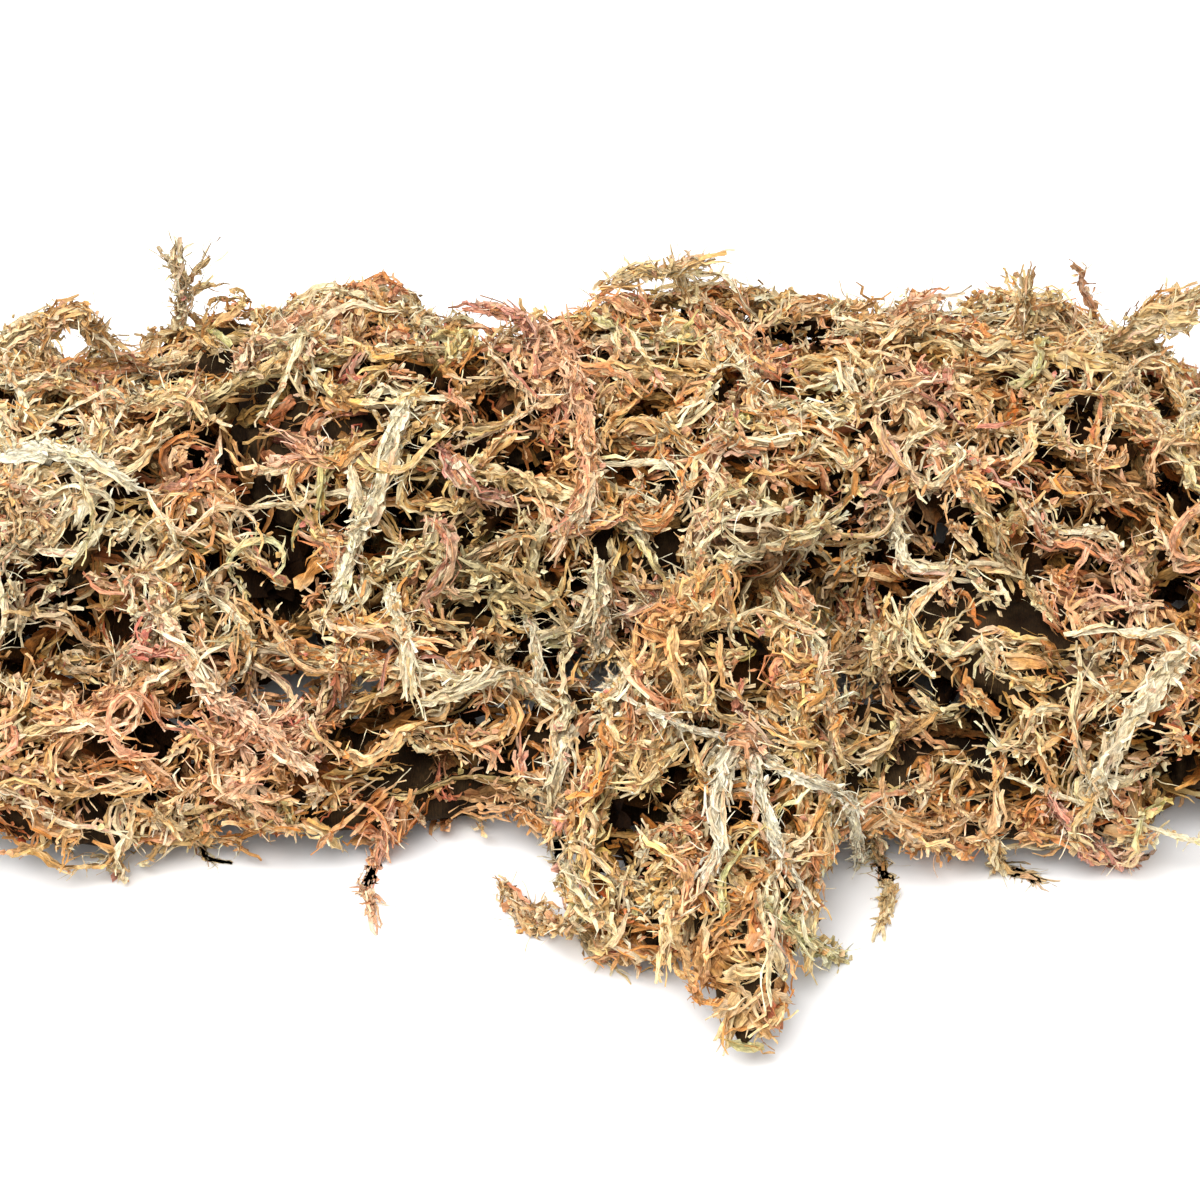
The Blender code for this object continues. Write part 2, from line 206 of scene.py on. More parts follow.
class Field:
    """How solid the clump is at each place, and which node is nearest there."""

    def __init__(self, names):
        low, high = np.array(cad_box)
        self.low = low - FIELD_MARGIN
        self.low[2] = -FIELD_MARGIN
        self.shape = np.ceil((high + FIELD_MARGIN - self.low) / CELL).astype(int)
        solid = np.zeros(self.shape, np.float32)
        self.owner = np.full(self.shape, -1)
        for number, name in enumerate(names):
            self.fill(solid, number, *node_mesh(name))
        closed = self.closed(solid)
        self.gap = (closed > 0) & (solid == 0)
        self.value = self.blurred(closed)
        self.slope = np.stack(np.gradient(self.value, CELL), axis=-1).astype(np.float32)
        self.spread_owners()

    def fill(self, solid, number, points, triangles):
        """Fill a solid column by column, between its lowest and highest point there."""
        samples = spread_points(points, triangles, FILL_STEPS)
        cell = ((samples - self.low) / CELL).astype(int)
        start = cell.min(axis=0)
        size = cell.max(axis=0) - start + 1
        lowest = np.full(size[:2], np.inf)
        highest = np.full(size[:2], -np.inf)
        column = tuple((cell - start)[:, :2].T)
        np.minimum.at(lowest, column, samples[:, 2])
        np.maximum.at(highest, column, samples[:, 2])
        centre = self.low[2] + (start[2] + np.arange(size[2]) + 0.5) * CELL
        inside = (centre > lowest[..., None]) & (centre < highest[..., None])
        block = tuple(slice(s, s + n) for s, n in zip(start, size))
        solid[block][inside] = 1
        self.owner[block][inside] = number

    def closed(self, solid):
        """Fill the narrow gaps: grow what is solid, then take as much off again."""
        grown = solid
        for take in (np.maximum, np.minimum):
            for axis in range(3):
                for _ in range(CLOSE_REACH):
                    grown = take(take(np.roll(grown, 1, axis), np.roll(grown, -1, axis)), grown)
        return np.maximum(grown, solid)

    def blurred(self, solid):
        # What is below the floor counts as solid, so the field's surface meets the floor upright
        floor = int(-self.low[2] / CELL)
        value = solid
        value[:, :, :floor] = value[:, :, floor:floor + 1]
        for _ in range(BLUR_PASSES):
            for axis in range(3):
                shifted = [np.roll(value, shift, axis)
                           for shift in range(-BLUR_REACH, BLUR_REACH + 1)]
                value = sum(shifted) / len(shifted)
        return value

    def spread_owners(self):
        """Give every empty cell near the clump the owner of a neighbour."""
        for _ in range(int(FIELD_MARGIN / CELL)):
            for axis, shift in itertools.product(range(3), (-1, 1)):
                moved = np.roll(self.owner, shift, axis)
                self.owner = np.where(self.owner < 0, moved, self.owner)

    def look_up(self, grid, points):
        """Blend a grid's eight nearest values at each point."""
        where = (points - self.low) / CELL - 0.5
        where = np.clip(where, 0, self.shape - 1.001)
        cell = where.astype(int)
        share = where - cell
        result = 0
        for corner in itertools.product((0, 1), repeat=3):
            corner = np.array(corner)
            weight = np.prod(np.where(corner, share, 1 - share), axis=-1)
            index = cell + corner
            found = grid[index[..., 0], index[..., 1], index[..., 2]]
            result = result + (weight if found.ndim == weight.ndim else weight[..., None]) * found
        return result

    def value_at(self, points):
        return self.look_up(self.value, points)

    def outwards(self, points):
        return unit(-self.look_up(self.slope, points))

    def onto_level(self, points, rounds=LEVEL_ROUNDS):
        """Move points along the slope until they lie on the level surface."""
        for _ in range(rounds):
            slope = self.look_up(self.slope, points)
            steep = np.maximum(np.linalg.norm(slope, axis=-1), LEAST_SLOPE)
            step = (self.value_at(points) - LEVEL) / steep
            points = points + unit(-slope) * np.clip(step, -CELL, CELL)[..., None]
        return points

    def owners_at(self, points):
        cell = np.clip(((points - self.low) / CELL).astype(int), 0, self.shape - 1)
        return self.owner[cell[..., 0], cell[..., 1], cell[..., 2]]

    def surface_spots(self, rng, count):
        """Random points spread over the level surface, except where it faces the floor."""
        inside = self.value > LEVEL
        edge = np.zeros_like(inside)
        for axis, shift in itertools.product(range(3), (-1, 1)):
            edge |= inside & ~np.roll(inside, shift, axis)
        cells = np.argwhere(edge)
        points = self.low + (cells + 0.5) * CELL
        outward = self.outwards(points)
        usable = (points[:, 2] > LOWEST_START) & (outward[:, 2] > STEEPEST_START)
        points = points[usable]
        chosen = points[rng.integers(0, len(points), count)]
        return self.onto_level(chosen + rng.uniform(-0.5, 0.5, chosen.shape) * CELL)


class Stack:
    """Many like items, each a small mesh of the same make, and the piece that each belongs to."""

    def __init__(self, points, triangles, tint, grain, owner):
        self.points = points          # item, corner, xyz
        self.triangles = triangles    # the same for each item
        self.tint = tint              # item, corner, rgb
        self.grain = grain            # item, corner, (across, along, number)
        self.owner = owner            # item


def turned(vectors, axis, angle):
    """Vectors turned about unit axes that they are square to."""
    angle = np.asarray(angle)[..., None]
    return vectors * np.cos(angle) + np.cross(axis, vectors) * np.sin(angle)


def run_lines(field, rng, start, heading, steps, step, wander):
    """Lines over the field's surface, as points and outward normals: line, point, xyz."""
    count = len(start)
    points, normals = [start], [field.outwards(start)]
    direction = heading
    curl = rng.normal(0, wander, count)
    for _ in range(steps - 1):
        normal = normals[-1]
        curl = 0.75 * curl + rng.normal(0, wander, count)
        direction = turned(squared(direction, normal), normal, curl)
        following = field.onto_level(points[-1] + direction * step, rounds=1)
        points.append(following)
        normals.append(field.outwards(following))
    points, normals = np.stack(points), np.stack(normals)
    for _ in range(LINE_EASING):
        points, normals = eased(points), eased(normals)
    return points.swapaxes(0, 1), unit(normals.swapaxes(0, 1))


def line_frames(points, normals):
    """Tangent, outward and sideways directions along lines."""
    tangent = unit(np.gradient(points, axis=1))
    outward = squared(normals, tangent)
    return tangent, outward, np.cross(tangent, outward)


def smooth_luck(rng, shape, passes=1):
    """Random values from about -1 to 1 that change gently along the last axis."""
    values = rng.uniform(-1, 1, shape)
    for _ in range(passes):
        padded = np.concatenate((values[..., :1], values, values[..., -1:]), axis=-1)
        values = 0.25 * padded[..., :-2] + 0.5 * padded[..., 1:-1] + 0.25 * padded[..., 2:]
    return values * (1 + 0.35 * passes)


def pick_colours(rng, shares, count):
    return PALETTE[rng.choice(len(PALETTE), count, p=shares / shares.sum())]


def blend(first, second, share):
    share = np.asarray(share)[..., None]
    return first * (1 - share) + second * share


def strip_triangles(rings, columns):
    """Triangles of a strip of quads with that many rings and columns of corners."""
    triangles = []
    for ring, column in itertools.product(range(rings - 1), range(columns - 1)):
        a = ring * columns + column
        b = a + columns
        triangles += [(a, a + 1, b + 1), (a, b + 1, b)]
    return np.array(triangles)


def stay_up(points):
    """Keep corners on or above the floor."""
    points[..., 2] = np.maximum(points[..., 2], FLOOR_GAP)
    return points


def grained(rng, across, along):
    """Each corner's place across and along its item in mm, and the item's own number."""
    number = rng.random((len(across), 1)) * 100
    return np.stack(np.broadcast_arrays(across, along, number), axis=-1)


class Rope:
    """A batch of shoots: each a rope of ragged plies that wind round one line."""

    def __init__(self, rng, points, normals, radius, base, twist, owner):
        self.rng = rng
        self.points = points
        self.count, self.rings = points.shape[:2]
        self.tangent, self.outward, self.sideways = line_frames(points, normals)
        self.radius = radius          # line, ring
        self.base = base              # line, rgb
        self.owner = owner
        run = np.linalg.norm(np.diff(points, axis=1), axis=-1)
        self.run = np.concatenate((np.zeros((self.count, 1)), np.cumsum(run, axis=1)), axis=1)
        phase = rng.uniform(0, 2 * math.pi, (self.count, 1))
        self.phase = phase + twist * self.run / MM + 0.5 * smooth_luck(rng, self.run.shape, 2)

    def around(self, angle):
        """The direction out from the line at an angle round it."""
        angle = angle[..., None]
        return self.outward * np.cos(angle) + self.sideways * np.sin(angle)

    def ply_stacks(self, plies, width):
        """Ribbons cupped round the line, furrowed along it and frayed pale at their edges."""
        rng = self.rng
        columns = np.array([-1.0, 0.0, 1.0])
        triangles = strip_triangles(self.rings, len(columns))
        shape = self.radius.shape
        for ply in range(plies):
            angle = self.phase + 2 * math.pi * ply / plies + rng.uniform(-0.4, 0.4, (self.count, 1))
            out = self.around(angle)
            across = np.cross(self.tangent, out)
            half = self.radius * width * (1 + 0.30 * smooth_luck(rng, shape, 1))
            ragged = 1 + PLY_RAGGED * rng.uniform(-1, 1, shape + (3,)) * np.abs(columns)
            lift = half[..., None] * (0.6 - 0.5 * np.abs(columns))
            lift = lift + half[..., None] * 0.30 * rng.uniform(-1, 1, shape + (3,))
            slide = PLY_SLIDE * rng.uniform(-1, 1, shape + (3,))
            points = (self.points[:, :, None, :]
                      + across[:, :, None, :] * (half[..., None] * columns * ragged)[..., None]
                      + out[:, :, None, :] * lift[..., None]
                      + self.tangent[:, :, None, :] * slide[..., None])
            warm = pick_colours(rng, LEAF_SHARES, self.count)
            share = np.clip(0.55 * smooth_luck(rng, shape, 3), 0, 0.6)
            colour = blend(self.base[:, None, :], warm[:, None, :], share)
            edge = np.abs(columns) * np.clip(rng.uniform(-0.4, 0.9, shape + (3,)), 0, 1)
            tint = blend(colour[:, :, None, :], WHITE, PALE_EDGE * edge)
            tint = tint * (0.75 + 0.35 * rng.random(shape + (3,)))[..., None]
            # painted shade along the middle of each ply
            tint = tint * PLY_FURROW_SHADE[:, None]
            flat = (self.count, -1, 3)
            across = (columns * half[..., None] / MM).reshape(self.count, -1)
            grain = grained(rng, across, np.repeat(self.run / MM, len(columns), axis=1))
            yield Stack(stay_up(points).reshape(flat), triangles, tint.reshape(flat), grain, self.owner)

    def section(self, line, place):
        """The rope's centre, tangent, outward direction and radius at fractional ring numbers."""
        place = np.clip(place, 0, self.rings - RING_END)
        ring = place.astype(int)
        share = place - ring

        def mixed(values, share):
            return values[line, ring] * (1 - share) + values[line, ring + 1] * share

        wide = share[:, None]
        return (mixed(self.points, wide), unit(mixed(self.tangent, wide)),
                unit(mixed(self.outward, wide)), mixed(self.radius, share))

    def roots(self, per_line):
        """Random places along each line: the line's number, and the rope's section there."""
        line = np.repeat(np.arange(self.count), per_line)
        place = self.rng.uniform(0, self.rings - RING_END, len(line))
        return (line,) + self.section(line, place)

    def sprouts(self, per_line, spread, forward, lean):
        """What grows on the rope: its line, centre, way out, direction, and the rope's radius."""
        rng = self.rng
        line, centre, tangent, outward, radius = self.roots(per_line)
        out = turned(outward, tangent, rng.uniform(-spread, spread, len(line)))
        sense = np.where(rng.random(len(line)) < forward, 1, -1)[:, None]
        lean = rng.uniform(*lean, (len(line), 1))
        direction = unit(tangent * sense * np.cos(lean) + out * np.sin(lean))
        return line, centre, out, direction, radius[:, None]

    def bark_stack(self, per_line, make):
        """Wavy strips that follow the rope, wind round it a little and peel away at their ends."""
        rng = self.rng
        line = np.repeat(np.arange(self.count), per_line)
        count = len(line)
        spacing = np.maximum(self.run[line, -1] / (self.rings - 1), 1e-5)
        reach = rng.uniform(*make.length, count) / spacing
        sense = np.where(rng.random(count) < FORWARD, 1, -1)
        start = rng.uniform(-0.3 * reach, self.rings - 1 - 0.4 * reach)
        start = np.where(sense > 0, start, start + reach)
        angle = rng.uniform(-BARK_SPREAD, BARK_SPREAD, count)
        winding = rng.normal(0, make.winding, count)
        near = rng.uniform(*BARK_NEAR, count)
        peel = rng.uniform(*make.peel, count)
        half = rng.uniform(*make.half_width, count)
        roll = rng.normal(0, make.roll, count)
        twist = rng.normal(0, 0.25, count)
        sway = rng.normal(0, make.sway, (count, make.segments + 1, 3))
        sway = 0.8 * sway + 0.1 * np.roll(sway, 1, axis=1) + 0.1 * np.roll(sway, -1, axis=1)
        rows = []
        for number in range(make.segments + 1):
            at = number / make.segments
            place = start + sense * reach * at
            beyond = place - np.clip(place, 0, self.rings - RING_END)
            centre, tangent, outward, radius = self.section(line, place)
            sideways = np.cross(tangent, outward)
            turn = (angle + winding * number)[:, None]
            out = outward * np.cos(turn) + sideways * np.sin(turn)
            far = radius * near + peel * at ** 2 * MM
            point = centre + tangent * (beyond * spacing)[:, None] + out * far[:, None]
            point = point + sway[:, number]
            across = turned(np.cross(tangent, out), tangent, roll + twist * number)
            swell = half * (0.45 + 0.55 * math.sin(math.pi * min(1, 0.15 + 0.72 * at)))
            left = (swell * rng.uniform(*BARK_RAGGED, count))[:, None]
            right = (swell * rng.uniform(*BARK_RAGGED, count))[:, None]
            rows += [point - across * left, point + across * right]
        points = np.stack(rows, axis=1)
        return self.strip_stack(points, line, make, half)

    def strip_stack(self, points, line, make, half):
        """Coloured strips from their corners, with painted shade that makes them darker at the root than
        at the end.
        """
        rng = self.rng
        count = len(line)
        other = pick_colours(rng, LEAF_SHARES, count)
        colour = blend(self.base[line], other, rng.uniform(0, OTHER_COLOUR, count))
        colour = blend(colour, WHITE, np.clip(rng.uniform(*make.paleness, count), 0, 1))
        tint = np.repeat(colour[:, None, :], points.shape[1], axis=1)
        along = np.repeat(np.linspace(0, 1, make.segments + 1), 2)
        # painted shade: darker and purer at the root, lighter towards the end
        tint = np.clip(tint, 0.002, 1) ** (ROOT_SHADE_POWER - SHADE_POWER_FALL * along)[:, None]
        tint = tint * (ROOT_SHADE_LIGHT + SHADE_LIGHT_RISE * along)[:, None]
        tint = tint * rng.uniform(*STRIP_LIGHT, (count, 1, 1))
        tint = tint * rng.uniform(*CORNER_LIGHT, tint.shape[:2])[..., None]
        across = np.tile([-1, 1], make.segments + 1) * half[:, None] / MM
        grain = grained(rng, across, along * rng.uniform(*make.length, (count, 1)) / MM)
        triangles = strip_triangles(make.segments + 1, 2)
        return Stack(stay_up(points), triangles, tint, grain, self.owner[line])

    def leaf_stack(self, per_line, length, width):
        """Small torn leaves that stand off the rope, mostly along it."""
        rng = self.rng
        line, centre, out, along, radius = self.sprouts(per_line, LEAF_SPREAD, FORWARD, LEAF_LEAN)
        count = len(line)

        def luck(low, high):
            return rng.uniform(low, high, (count, 1))

        along = unit(along + 0.35 * rng.normal(0, 1, along.shape))
        side = unit(np.cross(along, out))
        up = np.cross(side, along)
        size = luck(*length)
        half = size * luck(*width)
        base = centre + out * radius * luck(0.5, 1.0)
        middle = base + along * size * 0.5 - up * half * luck(0.4, 1.0)
        left = base + along * size * luck(0.2, 0.7) + side * half
        right = base + along * size * luck(0.2, 0.7) - side * half
        tip = base + along * size + up * size * luck(-0.3, 0.6)
        torn = side * half * luck(0.2, 0.9)
        notch = along * size * luck(-0.4, 0.1)
        points = np.stack((base, left, middle, right, tip + torn, tip - torn + notch), axis=1)
        triangles = np.array([(0, 2, 1), (0, 3, 2), (1, 2, 4), (2, 5, 4), (3, 5, 2)])
        colour = pick_colours(rng, LEAF_SHARES, count)
        colour = blend(colour, self.base[line], rng.uniform(0, 0.7, count))
        tint = np.repeat(colour[:, None, :], 6, axis=1)
        tint = tint * LEAF_CORNER_SHADE[None, :, None] * rng.uniform(*LEAF_LIGHT, (count, 1, 1))
        across = np.array([0, 1, 0, -1, 0.5, -0.5]) * half / MM
        grain = grained(rng, across, np.array([0, 0.5, 0.5, 0.5, 1, 1]) * size / MM)
        return Stack(stay_up(points), triangles, tint, grain, self.owner[line])

    def wisp_stack(self, per_line, make):
        """Curled strips that peel off the rope: dried branches when wide, fibres when thin."""
        rng = self.rng
        line, centre, out, direction, radius = self.sprouts(per_line, WISP_SPREAD, WISP_FORWARD,
                                                            make.lean)
        count = len(line)

        def luck(low, high):
            return rng.uniform(low, high, (count, 1))

        size = luck(*make.length)
        half = luck(*make.half_width)
        point = centre + out * radius * luck(0.1, 1.0) - direction * size * 0.25
        bend = rng.normal(0, 1, direction.shape)
        bend = squared(bend, direction)
        bend = bend * luck(0, make.curl)
        roll = rng.normal(0, make.roll, count)
        twist = rng.normal(0, 0.35, count)
        rows = []
        for number in range(make.segments + 1):
            at = number / make.segments
            across = unit(np.cross(direction, out))
            across = turned(across, direction, roll + twist * number)
            swell = half * (0.35 + 0.65 * math.sin(math.pi * min(1, 0.12 + 0.80 * at)))
            rows += [point - across * swell * luck(*WISP_RAGGED),
                     point + across * swell * luck(*WISP_RAGGED)]
            direction = unit(direction + bend + make.shake * rng.normal(0, 1, direction.shape))
            point = point + direction * (size / make.segments)
        points = np.stack(rows, axis=1)
        return self.strip_stack(points, line, make, half[:, 0])


def ends_taper(rings, blunt, tip):
    """The share of a rope's full radius at each ring: a blunt start and a tapering tip."""
    share = np.linspace(0, 1, rings)
    return np.minimum(1, blunt + 4 * share) * (tip + (1 - tip) * (1 - share ** 3))


# Strips: bark follows its rope, and a wisp springs off it
Bark = namedtuple("Bark", "length half_width winding peel roll sway segments paleness")
Wisp = namedtuple("Wisp", "length half_width lean curl roll shake segments paleness")

LONG_BARK = Bark(length=mm(5.0, 12.0), half_width=mm(0.20, 0.60), winding=0.18,
                 peel=(-0.3, 2.1), roll=0.55, sway=0.44 * MM, segments=6, paleness=(-0.8, 0.5))
SHORT_BARK = LONG_BARK._replace(length=mm(4.0, 9.0), segments=5)
CURL = Wisp(length=mm(2.0, 4.5), half_width=mm(0.16, 0.42), lean=(0.1, 1.1),
            curl=0.85, roll=0.9, shake=0.22, segments=5, paleness=(-0.5, 0.5))
FIBRE = Wisp(length=mm(4.0, 9.0), half_width=mm(0.08, 0.16), lean=(0.1, 1.2),
             curl=0.60, roll=1.0, shake=0.14, segments=7, paleness=(0.3, 1.0))


# Shoots over the whole clump. Depths and lifts are along the outward direction.
Batch = namedtuple("Batch", "count rings step radius depth arch lift wander plies ply_width "
                            "bark barks curls leaves fibres shares curl leaf",
                   defaults=(CURL, ROPE_LEAF))

MOSSY_SHARES = np.array([0.28, 0.28, 0.16, 0.08, 0.13, 0.03, 0.01, 0.03])
PALE_SHARES = np.array([0.62, 0.22, 0.02, 0.01, 0.06, 0.01, 0.00, 0.08])
DEEP_SHARES = np.array([0.10, 0.30, 0.30, 0.20, 0.05, 0.02, 0.01, 0.02])
MOSSY = Batch(count=620, rings=19, step=mm(0.9, 1.4), radius=mm(1.3, 2.5),
              depth=mm(-2.8, 0.6), arch=mm(-0.6, 2.0), lift=mm(-2.8, 2.6),
              wander=0.14, plies=1, ply_width=0.45, bark=LONG_BARK, barks=13, curls=6, leaves=12,
              fibres=2, shares=MOSSY_SHARES)
PALE = Batch(count=260, rings=25, step=mm(0.9, 1.5), radius=mm(0.7, 1.3),
             depth=mm(-1.6, 1.6), arch=mm(-0.6, 3.0), lift=mm(-2.6, 3.8),
             wander=0.12, plies=2, ply_width=0.62, bark=LONG_BARK, barks=9, curls=5, leaves=6,
             fibres=5, shares=PALE_SHARES)
SCRAPS = Batch(count=660, rings=9, step=mm(0.8, 1.3), radius=mm(0.9, 1.9),
               depth=mm(-3.6, 0.9), arch=mm(-0.5, 1.2), lift=mm(-2.0, 3.4),
               wander=0.20, plies=1, ply_width=0.45, bark=SHORT_BARK, barks=7, curls=5, leaves=9,
               fibres=1, shares=MOSSY_SHARES)
DEEP = Batch(count=900, rings=11, step=mm(1.0, 1.5), radius=mm(1.2, 2.6),
             depth=mm(-6.0, -1.6), arch=mm(-0.5, 1.0), lift=mm(-2.0, 2.0),
             wander=0.16, plies=1, ply_width=0.6, bark=SHORT_BARK, barks=5, curls=0, leaves=0,
             fibres=0, shares=DEEP_SHARES)
FLOW_SCALE = 45 * MM      # how far shoots of like heading reach
BRANCH_RINGS = 8
BRANCH_STEP = mm(0.7, 1.2)


Patch = namedtuple("Patch", "colour scale gain cut most")
PATCHES = (Patch(SALMON, 15 * MM, 4.2, 2.7, 0.80), Patch(CREAM, 26 * MM, 3.0, 1.7, 0.50),
           Patch(ORANGE, 12 * MM, 4.2, 2.7, 0.75))


def patch_colours(rng, points, shares):
    """Base colours, with pink, pale and orange patches a few centimetres wide."""
    base = pick_colours(rng, shares, len(points))
    for patch, noise in zip(PATCHES, noises):
        strength = np.clip(noise.at(points, patch.scale) * patch.gain - patch.cut, 0, patch.most)
        base = blend(base, patch.colour, strength * rng.random(len(points)))
    return base


DEPTH_START = 0.56        # the field's value where the painted shade starts
DEPTH_REACH = 0.38        # and how much further it is full
DEPTH_SHADE_WARMTH = 1.0         # how much purer colours are at the full depth, as painted warm shade
WARMTH_KEEPS = 0.75       # share of the lightness that they keep
DEPTH_SHADE_SHARE = 0.78         # share of the dark brown painted shade at the full depth


def shaded_by_depth(stacks, field, rng):
    """Paint shade onto what lies deep in the clump, darker, purer and browner with depth, and make every
    item a little unlike.
    """
    for stack in stacks:
        depth = np.clip((field.value_at(stack.points) - DEPTH_START) / DEPTH_REACH, 0, 1)
        power = rng.uniform(1.05, 1.35, (len(stack.tint), 1)) + DEPTH_SHADE_WARMTH * depth
        light = stack.tint.mean(axis=-1, keepdims=True)
        stack.tint = np.clip(stack.tint, 0, 1) ** power[..., None]
        warmed = stack.tint.mean(axis=-1, keepdims=True)
        stack.tint = stack.tint * (light / np.maximum(warmed, 0.01)) ** WARMTH_KEEPS
        # painted shade: blend towards the dark brown with depth
        stack.tint = blend(stack.tint, SHADE_UMBER, DEPTH_SHADE_SHARE * depth)
    return stacks


def rope_stacks(rope, batch):
    """All the plies, branches, leaves and fibres of a batch of shoots."""
    stacks = list(rope.ply_stacks(batch.plies, batch.ply_width))
    if batch.barks:
        stacks.append(rope.bark_stack(batch.barks, batch.bark))
    if batch.curls:
        stacks.append(rope.wisp_stack(batch.curls, batch.curl))
    if batch.leaves:
        stacks.append(rope.leaf_stack(batch.leaves, batch.leaf, LEAF_WIDTH))
    if batch.fibres:
        stacks.append(rope.wisp_stack(batch.fibres, FIBRE))
    return stacks


def shoots(field, rng, batch):
    """Many shoots that run over the clump, dive into it and arch out of it."""
    count = batch.count
    start = field.surface_spots(rng, count)
    normal = field.outwards(start)
    flow = noises[3].at(start, FLOW_SCALE) * 4 * math.pi + rng.normal(0, 0.9, count)
    flat = np.stack((np.cos(flow), np.sin(flow), np.zeros(count)), axis=-1)
    heading = squared(flat, normal)
    step = rng.uniform(*batch.step, count)[:, None]
    lines, normals = run_lines(field, rng, start, heading, batch.rings, step, batch.wander)
    share = np.linspace(0, 1, batch.rings)
    depth = rng.uniform(*batch.depth, count)[:, None]
    arch = rng.uniform(*batch.arch, count)[:, None] * np.sin(math.pi * share)
    lift = rng.uniform(*batch.lift, count)[:, None] * share ** 2
    waves = 0.8 * MM * smooth_luck(rng, (count, batch.rings), 2)
    lines = lines + normals * (depth + arch + lift + waves)[..., None]
    radius = rng.uniform(*batch.radius, count)[:, None]
    radius = radius * ends_taper(batch.rings, 0.4, 0.35)
    radius = radius * (1 + 0.25 * smooth_luck(rng, radius.shape, 1))
    lines[..., 2] = np.maximum(lines[..., 2], 0.6 * radius)
    owner = field.owners_at(lines[:, batch.rings // 2])
    base = patch_colours(rng, start, batch.shares)
    twist = rng.uniform(-0.12, 0.12, (count, 1))
    rope = Rope(rng, lines, normals, radius, base, twist, owner)
    return rope_stacks(rope, batch), rope


# Felted wads in the gaps between tufts, painted dark brown as shade
WAD_COUNT = 700
WAD_LEVEL = 0.86          # they lie where the field is over this
WAD_SIZE = mm(6, 9)
WAD_SIDE = 5              # corners along its side
WAD_OWNER = -2            # they belong to no node


def shaded_felt_wads(field, rng):
    """Crumpled scraps that fill the gaps, so that no floor shows through the clump, painted dark brown as
    shade.
    """
    cells = np.argwhere(field.gap & (field.value > WAD_LEVEL))
    points = field.low + (cells + 0.5) * CELL
    points = points[(points[:, 2] > 1 * MM)]
    centre = points[rng.integers(0, len(points), WAD_COUNT)]
    first = unit(rng.normal(0, 1, (WAD_COUNT, 3)) * np.array((1, 1, 0.5)))
    second = unit(np.cross(first, rng.normal(0, 1, (WAD_COUNT, 3))))
    third = np.cross(first, second)
    size = rng.uniform(*WAD_SIZE, WAD_COUNT)[:, None]
    rows = []
    for i, j in itertools.product(np.linspace(-0.5, 0.5, WAD_SIDE), repeat=2):
        jitter = rng.normal(0, 0.10, (WAD_COUNT, 3)) * size
        rows.append(centre + size * (i * first + j * second) + 0.8 * jitter)
    points = np.stack(rows, axis=1)
    points = points + 0.12 * size[:, None] * third[:, None] * rng.normal(0, 1, points.shape[:2])[..., None]
    # painted shade: the wads take the dark brown, at a random strength
    colour = SHADE_UMBER * rng.uniform(0.15, 0.6, (WAD_COUNT, 1))
    tint = np.repeat(colour[:, None, :], points.shape[1], axis=1)
    grain = points / MM
    owner = np.full(WAD_COUNT, WAD_OWNER)
    return Stack(stay_up(points), strip_triangles(WAD_SIDE, WAD_SIDE), tint, grain, owner)


SIDE_SHOOT = MOSSY._replace(ply_width=0.6, bark=SHORT_BARK, barks=3, curls=2, leaves=3, fibres=0)


def branchlets(rng, parent):
    """A short side branch on each shoot, which leans away from it and droops or stands."""
    line, start, tangent, outward, _ = parent.roots(1)
    count = len(line)
    side = np.cross(tangent, outward) * np.where(rng.random(count) < 0.5, 1, -1)[:, None]
    lean = rng.uniform(0.4, 1.2, count)[:, None]
    direction = unit(tangent * np.cos(lean) + side * np.sin(lean)
                     + outward * rng.uniform(-0.3, 0.7, count)[:, None])
    bend = rng.uniform(-0.22, 0.10, count)
    step = rng.uniform(*BRANCH_STEP, count)[:, None]
    points = [start]
    for _ in range(BRANCH_RINGS - 1):
        direction = unit(direction + bend[:, None] * outward + 0.12 * rng.normal(0, 1, direction.shape))
        points.append(points[-1] + direction * step)
    points = np.stack(points, axis=1)
    normals = np.repeat(outward[:, None, :], BRANCH_RINGS, axis=1)
    radius = rng.uniform(0.5 * MM, 1.1 * MM, count)[:, None] * ends_taper(BRANCH_RINGS, 0.8, 0.3)
    points[..., 2] = np.maximum(points[..., 2], 0.6 * radius)
    base = blend(parent.base[line], pick_colours(rng, MOSSY_SHARES, count), 0.4 * rng.random(count))
    rope = Rope(rng, points, normals, radius, base, 0.25, parent.owner[line])
    return rope_stacks(rope, SIDE_SHOOT)


# The felted bodies of the tufts, painted near black as shade, a little lighter on their ridges
BODY_LEVELS = 1
BODY_SINK = 1.6 * MM
BODY_RELIEF = 2.2 * MM
BODY_COARSE, BODY_FINE = mm(4.5, 1.9)    # the sizes of its ridges
BODY_SHADE = SHADE_UMBER * 0.12
BODY_CREST_SHADE = TAN * 0.07


